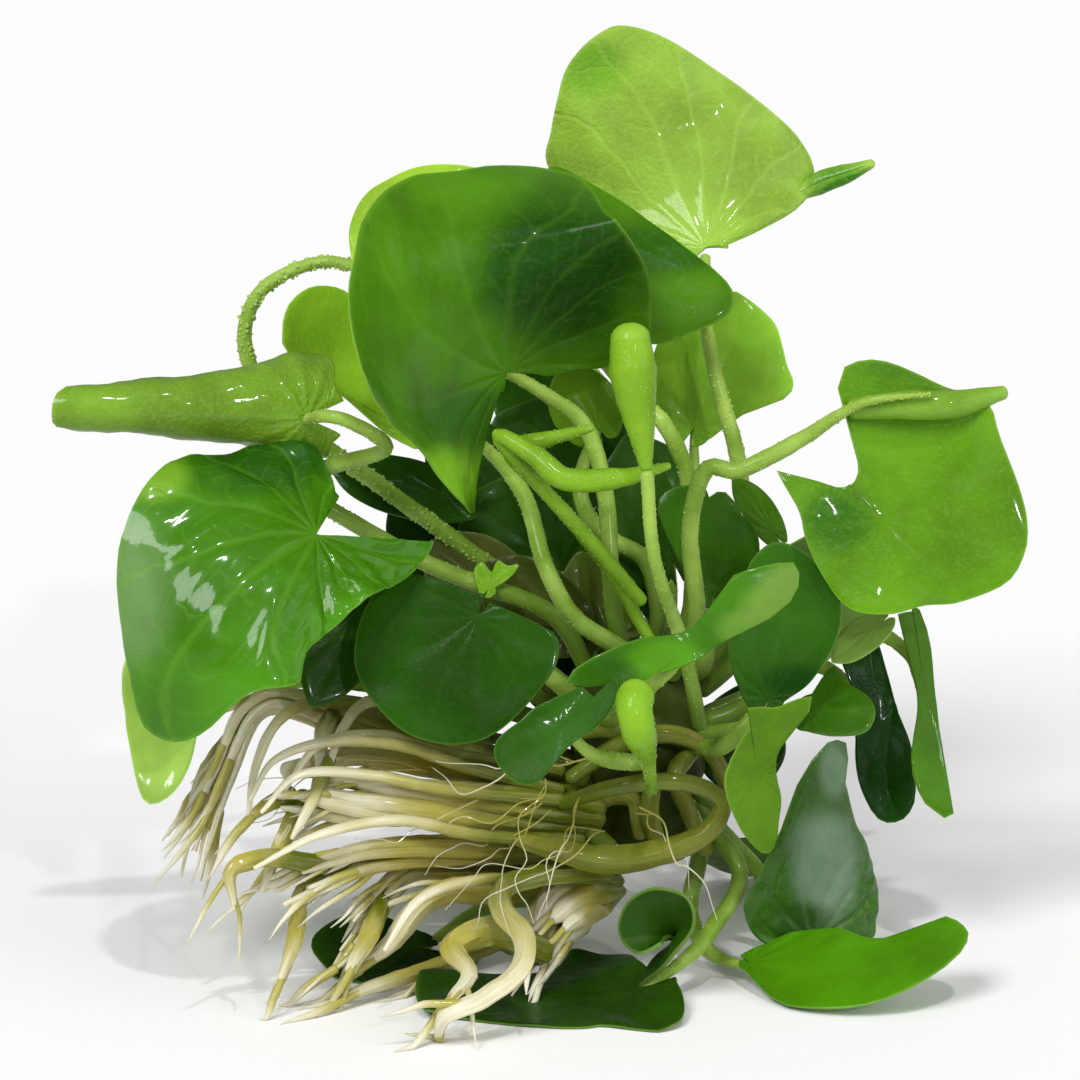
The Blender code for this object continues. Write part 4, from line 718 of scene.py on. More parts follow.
class Blade:
    """A heart-shaped blade: flat outline, rolled halves, on a curved midrib.

    base, via and tip are places on the midrib. face is the way the upper side faces at the
    base, as (right, up, towards the viewer). left and right are how far each half is bent up,
    in degrees, at the base and at the tip, and ruffle is how far its edge waves, in mm.
    outline gives the blade's edge as (column, row) places in the picture instead, each in
    sight of the base, and cut gives it as (mm ahead, mm aside) on the flat blade.
    """

    def __init__(self, base, tip, width, via=None, face=(0, 0, 1), left=(0, 0),
                 right=(0, 0), ruffle=0, notch=13, rests=False, outline=(), cut=()):
        start, end = spot(base), spot(tip)
        middle = (start + end) / 2 if via is None else spot(via)
        control = 2 * middle - (start + end) / 2
        t = np.linspace(0, 1, SPINE_STEPS)[:, None]
        self.spine = (1 - t) ** 2 * start + 2 * t * (1 - t) * control + t**2 * end
        steps = np.linalg.norm(np.diff(self.spine, axis=0), axis=1)
        self.along = np.concatenate([[0], np.cumsum(steps)])
        self.length = self.along[-1]
        self.half_width = width * MM / 2
        self.radius = self.length / (1 + STEM_OFF_MIDDLE)
        self.ways = units(np.gradient(self.spine, axis=0))
        normal = RIGHT * face[0] + ABOVE * face[1] - LOOK * face[2]
        normals = []
        for way in self.ways:
            normal = unit(normal - way * np.dot(normal, way))
            normals.append(normal)
        self.normals = np.array(normals)
        self.left, self.right = np.radians(left), np.radians(right)
        self.ruffle = ruffle * MM
        self.notch = math.radians(notch)
        self.rests = rests
        self.corners = None
        if outline or cut:
            self.radius = self.half_width
            flat = self.flattened(outline) if outline else np.array(cut) * MM
            angles = np.arctan2(flat[:, 1], flat[:, 0])
            self.corners = np.sort(angles)
            ahead, aside = smooth_route(flat[np.argsort(angles)], OUTLINE_SAMPLES).T
            self.around = np.maximum.accumulate(np.unwrap(np.arctan2(aside, ahead)))
            self.reach = np.hypot(ahead, aside)

    def flattened(self, outline):
        """Where on the flat blade the outline's places lie."""
        outline = np.array(outline, float)
        ruffle, self.ruffle = self.ruffle, 0
        flat = np.full_like(outline, PROBE)
        for _ in range(OUTLINE_STEPS):
            ahead, aside = flat.T
            here = seen(self.place(ahead, aside))
            slopes = [(seen(self.place(ahead + PROBE, aside)) - here) / PROBE,
                      (seen(self.place(ahead, aside + PROBE)) - here) / PROBE]
            step = np.linalg.solve(np.stack(slopes, -1), (outline - here)[..., None])[..., 0]
            far = np.linalg.norm(step, axis=1)[:, None]
            flat = flat + step * np.minimum(1, OUTLINE_STRIDE / np.maximum(far, PROBE))
        self.ruffle = ruffle
        return flat

    def edge(self, angle):
        """The outline's distance from the stem at that angle from the midrib."""
        if self.corners is not None:
            return np.interp(angle, self.around, self.reach)
        swing = STEM_OFF_MIDDLE * np.sin(angle)
        reach = STEM_OFF_MIDDLE * np.cos(angle) + np.sqrt(1 - swing**2)
        reach = reach * (1 + POINT_HEIGHT * np.exp(-((angle / POINT_HALF_ANGLE) ** 2)))
        late = np.clip(np.abs(angle) - LOBE_ROUNDING_FROM, 0, None)
        late = late / (math.pi - self.notch - LOBE_ROUNDING_FROM)
        reach = reach * (1 - LOBE_ROUNDING * late**2)
        return reach * self.radius

    def place(self, ahead, aside):
        """World positions of points on the flat blade."""
        angle = np.arctan2(aside, ahead)
        share = np.hypot(ahead, aside) / self.edge(angle)
        above = self.ruffle * share**3 * np.sin(RUFFLES * angle)
        aside = aside * self.half_width / self.radius
        along = np.clip(ahead, 0, self.length)
        spine, way, normal = (
            looked_up(along, self.along, values) for values in (self.spine, self.ways, self.normals)
        )
        left = np.cross(normal, way)
        spine = spine + way * (ahead - along)[..., None]
        late = along / self.length
        side = np.where(aside < 0, -1.0, 1.0)
        left_bend, right_bend = (
            at_base * (1 - late) + at_tip * late for at_base, at_tip in (self.left, self.right)
        )
        bend = np.where(aside < 0, right_bend, left_bend)
        out = np.abs(aside)
        flat, rise = np.zeros_like(out), np.zeros_like(out)
        for step in range(BEND_STEPS):
            tilt = bend * out * (step + 0.5) / BEND_STEPS / self.half_width
            flat += np.cos(tilt) * out / BEND_STEPS
            rise += np.sin(tilt) * out / BEND_STEPS
        tilt = bend * out / self.half_width
        flat = side * (flat - above * np.sin(tilt))
        rise = rise + above * np.cos(tilt)
        world = spine + left * flat[..., None] + normal * rise[..., None]
        return raised(world, BLADE_THICKNESS / 2) if self.rests else world

    def upward(self, ahead, aside):
        """Unit vectors out of the upper side."""
        forward = self.place(ahead + PROBE, aside) - self.place(ahead - PROBE, aside)
        across = self.place(ahead, aside + PROBE) - self.place(ahead, aside - PROBE)
        return units(np.cross(forward, across))

    def foot(self):
        """Where the stem meets the blade, and the way out of its upper side there."""
        here = np.zeros(1)
        return self.place(here, here)[0], self.upward(here, here)[0]


class Shape:
    """A mesh being put together: vertices, faces, a material number for each face, and how far
    each vertex is across and along whatever pattern its material draws. Nothing reaches below
    the table."""

    def __init__(self):
        self.vertices, self.lines, self.faces, self.numbers = [], [], [], []
        self.count = 0

    def add(self, vertices, lines, faces, number):
        self.vertices.append(raised(np.array(vertices, float).reshape(-1, 3), 0))
        self.lines.append(np.array(lines, float).reshape(-1, 2))
        for group in faces:
            self.faces.extend((group + self.count).tolist())
            self.numbers.extend([number] * len(group))
        self.count += len(self.vertices[-1])


def make_piece(name, shape, materials, nodes):
    """An object from the shape, on the part's one body and standing for those CAD nodes."""
    mesh = bpy.data.meshes.new(name)
    mesh.from_pydata(np.vstack(shape.vertices).tolist(), [], shape.faces)
    corners = np.zeros(len(mesh.loops), int)
    mesh.loops.foreach_get("vertex_index", corners)
    layer = mesh.uv_layers.new(name="lines")
    layer.data.foreach_set("uv", np.vstack(shape.lines)[corners].ravel())
    mesh.polygons.foreach_set("material_index", shape.numbers)
    mesh.shade_smooth()
    mesh.set_sharp_from_angle(angle=SHARP_ANGLE)
    for material in materials:
        mesh.materials.append(material)
    piece = bpy.data.objects.new(name, mesh)
    bpy.context.scene.collection.objects.link(piece)
    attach(piece, "root")
    if nodes:
        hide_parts(*nodes)


def grid_quads(rows, columns, start, closed=False):
    """Quads of a grid of vertices stored row by row from number start."""
    row = np.arange(rows - 1)[:, None]
    column = np.arange(columns if closed else columns - 1)[None, :]
    a = start + row * columns + column
    b = start + row * columns + (column + 1) % columns
    return np.stack([a, a + columns, b + columns, b], axis=-1).reshape(-1, 4)


def add_sheet(shape, middle, middle_half, surface, half, lines):
    """A closed sheet: rings of positions round a middle, and half the way through it at each.

    Its upper side has the first material, its lower side and its rim the second.
    """
    rings, rays = surface.shape[:2]
    quads = grid_quads(rings, rays, 1)
    fan = np.array([(0, 1 + k, 2 + k) for k in range(rays - 1)])
    for sign, number in ((1, 0), (-1, 1)):
        skin = (surface + sign * half).reshape(-1, 3)
        shape.add(np.vstack([middle + sign * middle_half, skin]), lines,
                  [quads[:, ::sign], fan[:, ::sign]], number)
    out = np.arange(rings) * rays
    around = 1 + out[-1] + np.arange(rays)
    rim = np.concatenate([[0], 1 + out[:-1], around, out[::-1][1:] + rays, [0]])
    count = 1 + rings * rays
    a, b = rim[:-1] - count, rim[1:] - count
    shape.add([], [], [np.stack([a - count, a, b, b - count], -1)], 1)


def relief(blade, angle, share, seed, quilt, pleat):
    """Height over the smooth blade, and how many main veins each point is from the midrib.

    The skin sinks at the veins and swells between them, and pleat raises ridges, in mm, that
    run out from the stem.
    """
    edge = blade.edge(angle)
    turn = angle + VEIN_WANDER * share * np.sin(VEIN_BENDS * share + VEIN_TURNS * angle + seed)
    spacing = 2 * (math.pi - blade.notch) / MAIN_VEINS
    across = turn / spacing
    off = across - np.round(across)
    along = share * SIDE_VEINS - np.abs(off) * SIDE_LEAN + 0.5 * (np.round(across) % 2)
    near = along - np.round(along)
    main = np.exp(-((np.abs(off) * spacing * edge * share / VEIN_WIDTH) ** 2))
    side = np.exp(-((near * edge / SIDE_VEINS / VEIN_WIDTH) ** 2))
    swell = (1 - 4 * near**2) * np.sin(math.pi * np.abs(off)) * share
    late = np.clip((1 - share) * RIM_FADE, 0, 1)
    veins = np.maximum(main, side * SIDE_VEIN_SHARE) * late
    spots = np.stack([share * np.cos(angle), share * np.sin(angle)], -1)
    ridges = np.sin(PLEATS * angle + PLEAT_WANDER * waves(spots, PLEAT_LENGTH, seed))
    ridges = ridges * (0.5 + 0.5 * waves(spots, PLEAT_GAPS, seed + 1)) * share**2 * (PLEAT_FULL - share**4)
    return quilt * (QUILT * swell * late - VEIN_DEPTH * veins) + pleat * MM * ridges, across


def add_blade(shape, blade, seed, quilt, pleat):
    """The blade as a closed sheet."""
    size = "large" if blade.length > LARGE_BLADE else "small"
    last = math.pi - blade.notch
    angles = np.linspace(-last, last, BLADE_RAYS[size] + 1)
    angle, share = np.meshgrid(angles, np.linspace(0, 1, BLADE_RINGS[size] + 1)[1:])
    around = np.stack([np.cos(angles), np.sin(angles)], -1)
    reach = share * blade.edge(angle) * (1 + EDGE_WAVE * waves(around, EDGE_WAVE_LENGTH, seed))
    ahead, aside = reach * np.cos(angle), reach * np.sin(angle)
    surface, up = blade.place(ahead, aside), blade.upward(ahead, aside)
    height, across = relief(blade, angle, share, seed, quilt, pleat)
    height = height + SKIN_WAVE * waves(surface, SKIN_WAVE_LENGTH, seed) * share
    height = height + CRINKLE * quilt * waves(surface, CRINKLE_LENGTH, seed + 2) * share
    surface = surface + up * height[..., None]
    if blade.rests:
        surface = raised(surface, BLADE_THICKNESS / 2)
    half = up * (BLADE_THICKNESS / 2) * np.where(share == 1, RIM_SHARE, 1.0)[..., None]
    middle, middle_up = blade.foot()
    lines = np.vstack([[0, 0], np.stack([across, share], -1).reshape(-1, 2)])
    add_sheet(shape, middle, middle_up * BLADE_THICKNESS / 2, surface, half, lines)


def add_curl(shape, apex, rim, seed):
    """A lobe of a blade rolled into a cone: its apex and the places along its edge."""
    apex = spot(apex)
    edge = smooth_route([spot(place) for place in rim], CURL_RAYS)
    normals = units(np.cross(edge - apex, np.gradient(edge, axis=0)))
    shares = np.linspace(0, 1, CURL_RINGS + 1)[1:, None, None]
    surface = apex + (edge - apex) * shares + normals * np.sin(math.pi * shares) * CURL_BELLY
    surface = surface + normals * (SKIN_WAVE * waves(surface, CURL_WAVE_LENGTH, seed))[..., None] / 2
    half = normals * BLADE_THICKNESS / 2
    across = np.linspace(-CURL_VEINS, CURL_VEINS, CURL_RAYS)
    lines = np.array([(0, 0)] + [(x, s) for s in shares.ravel() for x in across])
    add_sheet(shape, apex, half.mean(axis=0), surface, half, lines)


def tube_rings(points, radii, spacing):
    """Centre, way, two ways across, radius and share of the length at each ring of a tube."""
    rough = smooth_route(points, LENGTH_SAMPLES)
    length = np.linalg.norm(np.diff(rough, axis=0), axis=1).sum()
    count = max(FEWEST_RINGS, int(round(length / spacing)) + 1)
    share = np.linspace(0, 1, count)
    size = np.interp(share, np.linspace(0, 1, len(radii)), radii) * MM
    route = raised(smooth_route(points, count), size)
    ways = units(np.gradient(route, axis=0))
    upright = abs(np.dot(ways[0], ABOVE)) > NEARLY_UPRIGHT
    across = unit(np.cross(ways[0], RIGHT if upright else ABOVE))
    acrosses = []
    for way in ways:
        across = unit(across - way * np.dot(across, way))
        acrosses.append(across)
    acrosses = np.array(acrosses)
    return route, ways, acrosses, np.cross(ways, acrosses), size, share


def tube_at(rings, at):
    """A tube's centre, way, two ways across and radius at those shares of its length."""
    route, ways, side, other, size, share = rings
    directed = [looked_up(at, share, rows) for rows in (route, ways, side, other)]
    return [*directed, np.interp(at, share, size)]


def add_tube(shape, points, radii, number, sides=TUBE_SIDES, spacing=RING_SPACING, ridges=0,
             ridge=0.0, twist=0.0, rough=0.0, seed=0):
    """A closed tube along the points with rounded ends. Gives its rings for what sits on it."""
    rings = tube_rings(points, radii, spacing)
    route, ways, side, other, size, share = rings
    back = np.sin(np.linspace(CAP_FROM, math.pi / 2, CAP_RINGS + 1)[:-1])
    start = [(0, -math.sqrt(1 - k * k) * size[0], k) for k in back]
    finish = [(len(route) - 1, math.sqrt(1 - k * k) * size[-1], k) for k in back[::-1]]
    middle = [(k, 0.0, 1.0) for k in range(len(route))]
    index, shift, scale = (np.array(x) for x in zip(*start, *middle, *finish))
    centre = route[index] + ways[index] * (shift * CAP_FLATTENING)[:, None]
    turn = np.arange(sides) / sides * 2 * math.pi
    lumps = 1 + ridge * np.cos(ridges * turn[None, :] + twist * share[index][:, None] * 2 * math.pi)
    reach = (size[index] * scale)[:, None] * lumps
    out = side[index][:, None] * np.cos(turn)[None, :, None]
    out = out + other[index][:, None] * np.sin(turn)[None, :, None]
    if rough:
        skin = centre[:, None] + out * reach[..., None]
        reach = reach * (1 + rough * waves(skin, TUBE_WAVE_LENGTH, seed))
    rows = len(index)
    lines = np.stack([np.tile(turn / (2 * math.pi), rows), np.repeat(share[index], sides)], -1)
    quads = grid_quads(rows, sides, 0, closed=True)[:, ::-1]
    caps = [np.arange(sides)[None, ::-1], (rows - 1) * sides + np.arange(sides)[None, :]]
    shape.add(centre[:, None] + out * reach[..., None], lines, [quads, *caps], number)
    return rings


def add_warts(shape, rings, number, seed, spacing, size, begin=0.0):
    """Small domes scattered over a tube, spacing and size in mm."""
    route, radius = rings[0], rings[4]
    length = np.linalg.norm(np.diff(route, axis=0), axis=1).sum() * (1.0 - begin)
    rng = np.random.default_rng(seed)
    count = int(length * 2 * math.pi * radius.mean() / (spacing * MM) ** 2)
    at = rng.uniform(begin, 1.0, count)
    turn = rng.uniform(0, 2 * math.pi, count)
    tall = (size * MM * rng.uniform(*WART_HEIGHTS, count))[:, None]
    centre, way, across, over, reach = tube_at(rings, at)
    out = across * np.cos(turn)[:, None] + over * np.sin(turn)[:, None]
    foot = centre + out * (reach * WART_SEAT)[:, None]
    corner = np.arange(WART_SIDES) / WART_SIDES * 2 * math.pi
    circle = (way[:, None] * np.cos(corner)[None, :, None]
              + np.cross(out, way)[:, None] * np.sin(corner)[None, :, None])
    low, high = (foot[:, None] + circle * (tall * wide)[..., None] + (out * (tall * up))[:, None]
                 for wide, up in WART_RINGS)
    vertices = np.concatenate([low, high, (foot + out * tall)[:, None]], axis=1)
    each = 2 * WART_SIDES + 1
    base = (np.arange(count) * each)[:, None]
    k = base + np.arange(WART_SIDES)
    n = base + (np.arange(WART_SIDES) + 1) % WART_SIDES
    quads = np.stack([k, n, WART_SIDES + n, WART_SIDES + k], -1).reshape(-1, 4)
    fan = np.stack([WART_SIDES + k, WART_SIDES + n, base + 2 * WART_SIDES + 0 * k], -1).reshape(-1, 3)
    lines = np.repeat(np.stack([turn / (2 * math.pi), at], -1), each, axis=0)
    shape.add(vertices, lines, [quads, fan], number)


def add_bundle(shape, places, radii, seed, strands=1):
    """A root, or strands of it twisted round each other, which splay towards its tip."""
    points = [spot(place) for place in places]
    if strands == 1:
        return [add_tube(shape, points, radii, 0, seed=seed, **ROOT_SKIN)]
    route, _, side, other, size, share = tube_rings(points, radii, RING_SPACING)
    rng = np.random.default_rng(seed)
    made = []
    for strand in range(strands):
        stop = len(route) if strand == 0 else int(len(route) * rng.uniform(*STRAND_LENGTHS))
        turn = 2 * math.pi * strand / strands + STRAND_TWIST * share + rng.uniform(*STRAND_TURNS)
        out = side * np.cos(turn)[:, None] + other * np.sin(turn)[:, None]
        away = size * STRAND_OFF_MIDDLE + FAN * MM * share**3 * rng.uniform(*STRAND_SPLAYS)
        path = (route + out * away[:, None])[:stop:STRAND_STEP]
        thick = np.interp(np.linspace(0, 1, STRAND_POINTS), share, size) / MM * STRAND_SHARE
        thick[-1] = min(thick[-1], STRAND_TIP)
        made.append(add_tube(shape, path, thick, 0, seed=seed + strand, **STRAND_SKIN))
    return made


def add_rootlets(shape, rings, count, seed, begin):
    """Pointed side roots that leave a root in the direction of its tip and droop."""
    rng = np.random.default_rng(seed)
    for k in range(count):
        start, way, across, over, thick = tube_at(rings, rng.uniform(begin, ROOTLETS_TO))
        turn = rng.uniform(0, 2 * math.pi)
        out = across * math.cos(turn) + over * math.sin(turn)
        reach = rng.uniform(*ROOTLET_LENGTH) * MM
        points, head = [start + out * thick * ROOTLET_SEAT], unit(way + out * ROOTLET_LEAN)
        for _ in range(ROOTLET_STEPS):
            head = unit(head + ROOTLET_DROOP + rng.normal(size=3) * ROOTLET_WANDER)
            points.append(points[-1] + head * reach / ROOTLET_STEPS)
        thin = ROOTLET_RADIUS * rng.uniform(*ROOTLET_RADII)
        add_tube(shape, points, (*thin * ROOTLET_TAPER, ROOTLET_TIP), 1, sides=ROOTLET_SIDES,
                 rough=ROOTLET_ROUGH, seed=seed + k)


def add_hairs(shape, places, seed):
    """Hair roots: long fine threads that wander along a line of places."""
    rng = np.random.default_rng(seed)
    base = smooth_route([spot(place) for place in places], HAIR_POINTS)
    for _ in range(HAIRS_EACH):
        drift = np.cumsum(rng.normal(size=base.shape), axis=0) * HAIR_DRIFT
        points = base + drift + rng.normal(size=base.shape) * HAIR_KINK
        points[0] = base[0] + rng.normal(size=3) * HAIR_START
        reach = rng.uniform(*HAIR_RADII)
        add_tube(shape, points, (reach, reach, HAIR_TIP), 0, sides=HAIR_SIDES, spacing=HAIR_SPACING)


def tint(colour, gain=1.0):
    """The linear colour of a screen colour, each part from 0 to 255, made lighter by the gain."""
    parts = [part / 255 for part in colour]
    parts = [p / 12.92 if p <= 0.04045 else ((p + 0.055) / 1.055) ** 2.4 for p in parts]
    return (*[min(1.0, p * gain) for p in parts], 1.0)


def blend(first, second, share):
    """A screen colour between two others, with that share of the second."""
    return [(1 - share) * a + share * b for a, b in zip(first, second)]


class Nodes:
    """Builds one material's nodes. An input given as a socket is linked, any other is set."""

    def __init__(self, name):
        self.material = bpy.data.materials.new(name)
        self.material.use_nodes = True
        self.tree = self.material.node_tree
        self.tree.nodes.clear()

    def add(self, kind, inputs=None, **properties):
        node = self.tree.nodes.new("ShaderNode" + kind)
        for key, value in properties.items():
            setattr(node, key, value)
        for key, value in (inputs or {}).items():
            if isinstance(value, bpy.types.NodeSocket):
                self.tree.links.new(value, node.inputs[key])
            else:
                node.inputs[key].default_value = value
        return node

    def maths(self, operation, *values):
        return self.add("Math", dict(enumerate(values)), operation=operation).outputs[0]

    def between(self, value, low, high, start=0.0, end=1.0):
        """value from low to high, turned into a smooth step from start to end."""
        inputs = {0: value, 1: low, 2: high, 3: start, 4: end}
        return self.add("MapRange", inputs, interpolation_type="SMOOTHSTEP").outputs[0]

    def mix(self, factor, first, second, blend_type="MIX"):
        inputs = {0: factor, 6: first, 7: second}
        return self.add("Mix", inputs, data_type="RGBA", blend_type=blend_type).outputs[2]

    def place(self):
        return self.add("TexCoord").outputs["Object"]

    def noise(self, scale, detail=3.0, roughness=0.5, vector=None):
        inputs = {"Scale": scale, "Detail": detail, "Roughness": roughness}
        inputs["Vector"] = self.place() if vector is None else vector
        return self.add("TexNoise", inputs).outputs[0]

    def lines(self):
        """The two coordinates of the pattern, across and along."""
        parts = self.add("SeparateXYZ", {0: self.add("UVMap", uv_map="lines").outputs[0]})
        return parts.outputs[0], parts.outputs[1]

    def near(self, centre, across, up):
        """1 around a position, falling softly to 0 at across and up mm from it in the picture."""
        away = self.add("VectorMath", {0: self.place(), 1: tuple(centre)}, operation="SUBTRACT")
        squares = []
        for axis, reach in ((RIGHT, across), (ABOVE, up)):
            inputs = {0: away.outputs[0], 1: tuple(axis / (reach * MM))}
            share = self.add("VectorMath", inputs, operation="DOT_PRODUCT").outputs["Value"]
            squares.append(self.maths("MULTIPLY", share, share))
        far = self.maths("SQRT", self.maths("ADD", *squares))
        far = self.maths("ADD", far, self.maths("MULTIPLY", self.noise(130.0, 2.0), 0.4))
        return self.between(far, 0.65, 1.35, 1.0, 0.0)

    def bump(self, height, strength, distance, normal=None):
        """A normal for height, distance in mm, on top of another normal where there is one."""
        inputs = {"Height": height, "Strength": strength, "Distance": distance * MM}
        if normal is not None:
            inputs["Normal"] = normal
        return self.add("Bump", inputs).outputs[0]

    def finish(self, skin, roughness, coat=0.0, coat_roughness=0.03, specular=0.5, normal=None,
               glow=None, glow_share=0.0):
        """The material, with light from behind let through in the glow colour."""
        inputs = {"Base Color": skin, "Roughness": roughness, "Coat Weight": coat,
                  "Coat Roughness": coat_roughness, "Specular IOR Level": specular}
        facing = {} if normal is None else {"Normal": normal}
        surface = self.add("BsdfPrincipled", inputs | facing).outputs[0]
        if glow_share:
            behind = self.add("BsdfTranslucent", {"Color": glow} | facing).outputs[0]
            surface = self.add("MixShader", {0: glow_share, 1: surface, 2: behind}).outputs[0]
        self.add("OutputMaterial", {"Surface": surface})
        return self.material


def vein_pattern(nodes):
    """How much of a vein is at each point, and the share of the way to the blade's edge."""
    across, along = nodes.lines()
    wander = nodes.maths("SUBTRACT", nodes.noise(240.0, 2.0), 0.5)
    across = nodes.maths("ADD", across, nodes.maths("MULTIPLY", wander, 0.22))
    stagger = nodes.maths("MULTIPLY", nodes.maths("PINGPONG", nodes.maths("ROUND", across), 1.0), 0.5)
    off = nodes.maths("PINGPONG", across, 0.5)
    phase = nodes.maths("MULTIPLY", along, float(SIDE_VEINS))
    phase = nodes.maths("SUBTRACT", phase, nodes.maths("MULTIPLY", off, SIDE_LEAN))
    phase = nodes.maths("ADD", nodes.maths("ADD", phase, stagger), nodes.maths("MULTIPLY", wander, 0.8))
    near = nodes.maths("PINGPONG", phase, 0.5)
    main = nodes.between(nodes.maths("MULTIPLY", off, along), 0.0, 0.06, 1.0, 0.0)
    side = nodes.between(near, 0.0, 0.12, 0.5, 0.0)
    return nodes.maths("MAXIMUM", main, side), along


def leaf_material(name, colour, spots=(), vein_share=0.1, rough=0.3, coat=0.18, speckle=0.15):
    """Skin of a blade: one green in soft patches, faint veins, a paler rim and a wet gloss.

    spots are the parts of another green, most of them painted shade or painted sheen, and speckle is how
    grainy the skin is.
    """
    nodes = Nodes(name)
    veins, along = vein_pattern(nodes)
    patches = nodes.between(nodes.noise(70.0), 0.30, 0.70)
    skin = nodes.mix(patches, tint(colour, 0.72), tint(colour, 1.18))
    # Each spot paints shade, sheen or light shining through the blade, or the blade's own other green,
    # softly over the skin.
    for column, row, across, up, other in spots:
        shade = nodes.mix(patches, tint(other, 0.85), tint(other, 1.12))
        skin = nodes.mix(nodes.near(spot((column, row, 0)), across, up), skin, shade)
    pale = tint(blend(colour, PALE_GREEN, PALE_VEIN), 1.25)
    grains = nodes.between(nodes.noise(1500.0, 2.0), 0.45, 0.75, 0.0, 0.04 + 0.3 * speckle)
    skin = nodes.mix(grains, skin, pale)
    skin = nodes.mix(nodes.maths("MULTIPLY", veins, vein_share), skin, pale)
    skin = nodes.mix(nodes.between(along, 0.975, 1.0, 0.0, 0.45), skin, pale)
    roughness = nodes.between(nodes.noise(220.0), 0.3, 0.75, rough - 0.06, rough + 0.12)
    normal = nodes.bump(nodes.noise(520.0, 3.0, 0.55), 0.25, 0.30)
    normal = nodes.bump(nodes.noise(1700.0, 2.0, 0.6), speckle, 0.35, normal)
    normal = nodes.bump(veins, vein_share * 1.5, -0.20, normal)
    glow = nodes.mix(1.0, skin, LEAF_GLOW, "MULTIPLY")
    return nodes.finish(skin, roughness, coat, 0.08, 0.10, normal, glow, LEAF_GLOW_SHARE)


def stem_material(name, dark, light, tip):
    """Skin of a stem: streaks of two greens, paler towards the blade, with painted shade darkening the part
    near the crown, deep in the clump.
    """
    nodes = Nodes(name)
    _, along = nodes.lines()
    skin = nodes.mix(nodes.between(nodes.noise(170.0), 0.32, 0.7), tint(dark), tint(light))
    skin = nodes.mix(nodes.between(along, 0.5, 1.0, 0.0, 0.6), skin, tint(tip))
    # Painted shade: the stem is darkened near the crown, where it lies deep in the clump.
    skin = nodes.mix(nodes.between(along, 0.0, 0.45, 0.85, 0.0), skin, tint(dark, 0.55))
    normal = nodes.bump(nodes.noise(1300.0, 3.0, 0.6), 0.30, 0.25)
    return nodes.finish(skin, 0.38, 0.22, 0.14, 0.15, normal, tint(light), STEM_GLOW_SHARE)


def root_material(name, base, middle, tip, white_from=0.66, rough=0.30, coat=0.5):
    """Skin of a root: olive at the crown, through straw, to nearly white at the tip."""
    nodes = Nodes(name)
    across, along = nodes.lines()
    stain = nodes.maths("SUBTRACT", nodes.noise(120.0), 0.5)
    later = nodes.maths("ADD", along, nodes.maths("MULTIPLY", stain, 0.5))
    skin = nodes.mix(nodes.between(later, 0.18, 0.60), tint(base), tint(middle))
    skin = nodes.mix(nodes.between(later, white_from, white_from + 0.4), skin, tint(tip))
    stretched = {0: nodes.maths("MULTIPLY", across, 9.0), 1: nodes.maths("MULTIPLY", along, 2.2)}
    fibres = nodes.noise(1.6, 3.0, 0.6, nodes.add("CombineXYZ", stretched).outputs[0])
    lighter = nodes.mix(0.4, skin, tint(tip))
    skin = nodes.mix(nodes.between(fibres, 0.46, 0.78, 0.0, 0.6), skin, lighter)
    skin = nodes.mix(nodes.between(fibres, 0.20, 0.48, 0.30, 0.0), skin, tint(base, 0.9))
    normal = nodes.bump(fibres, 0.6, 0.35)
    normal = nodes.bump(nodes.noise(900.0, 3.0, 0.6), 0.35, 0.25, normal)
    glow = nodes.mix(1.0, skin, ROOT_GLOW, "MULTIPLY")
    return nodes.finish(skin, rough, coat, 0.10, 0.2, normal, glow, ROOT_GLOW_SHARE)


def leaf_skins(name, colour):
    """The upper and the lower skin of a leaf, of which the one that doesn't show is derived."""
    shown = name in LOWER_SHOWN
    spots = LEAF_PAINTED_LIGHT_AND_TONES.get(name, ())
    veins = VEIN_SHARES.get(name, PLAIN_VEINS)
    speckle = SPECKLES.get(name, PLAIN_SPECKLE)
    coat = COATS.get(name, PLAIN_COAT)
    deeper = [DEEP_UPPER * part for part in colour] if shown else colour
    paler = colour if shown else blend(colour, PALE_GREEN, PALE_LOWER)
    upper = leaf_material(name + "_upper", deeper, spots, veins, UPPER_ROUGH, coat, speckle)
    lower = leaf_material(name + "_lower", paler, spots if shown else (), veins, LOWER_ROUGH, coat, speckle)
    return [upper, lower]


def make_materials():
    """The skins that more than one piece shares, by name."""
    return {
        "stem": stem_material("stem_skin", (118, 154, 44), (162, 194, 84), (166, 200, 84)),
        "wart": stem_material("wart_skin", (156, 188, 80), (182, 208, 112), (182, 208, 112)),
        "young": leaf_material("young_skin", (130, 178, 38), speckle=0.3),
        "root": root_material("root_skin", (116, 126, 20), (196, 186, 84), (246, 243, 220), 0.6),
        "pale_root": root_material("pale_root_skin", (128, 136, 32), (208, 200, 112), (248, 245, 226), 0.42),
        "rootlet": root_material("rootlet_skin", (196, 190, 92), (230, 224, 168), (248, 246, 234), 0.35),
        "runner": root_material("runner_skin", (110, 128, 36), (134, 140, 46), (150, 150, 60), 0.8),
        "crown": root_material("crown_skin", (58, 74, 8), (84, 98, 18), (104, 114, 30), 0.7, 0.55, 0.08),
    }


def crown_exit(toward, radius):
    """Where a stem heading for that position leaves the crown, clear of it by the gap."""
    centre = spot(CROWN_PLACE)
    way = toward - centre
    reach = 1 / np.linalg.norm(way / CROWN_HALF_SIZE)
    return centre + way * reach * (1 + CROWN_LUMP) + unit(way) * (GAP + radius * END_SHARE)


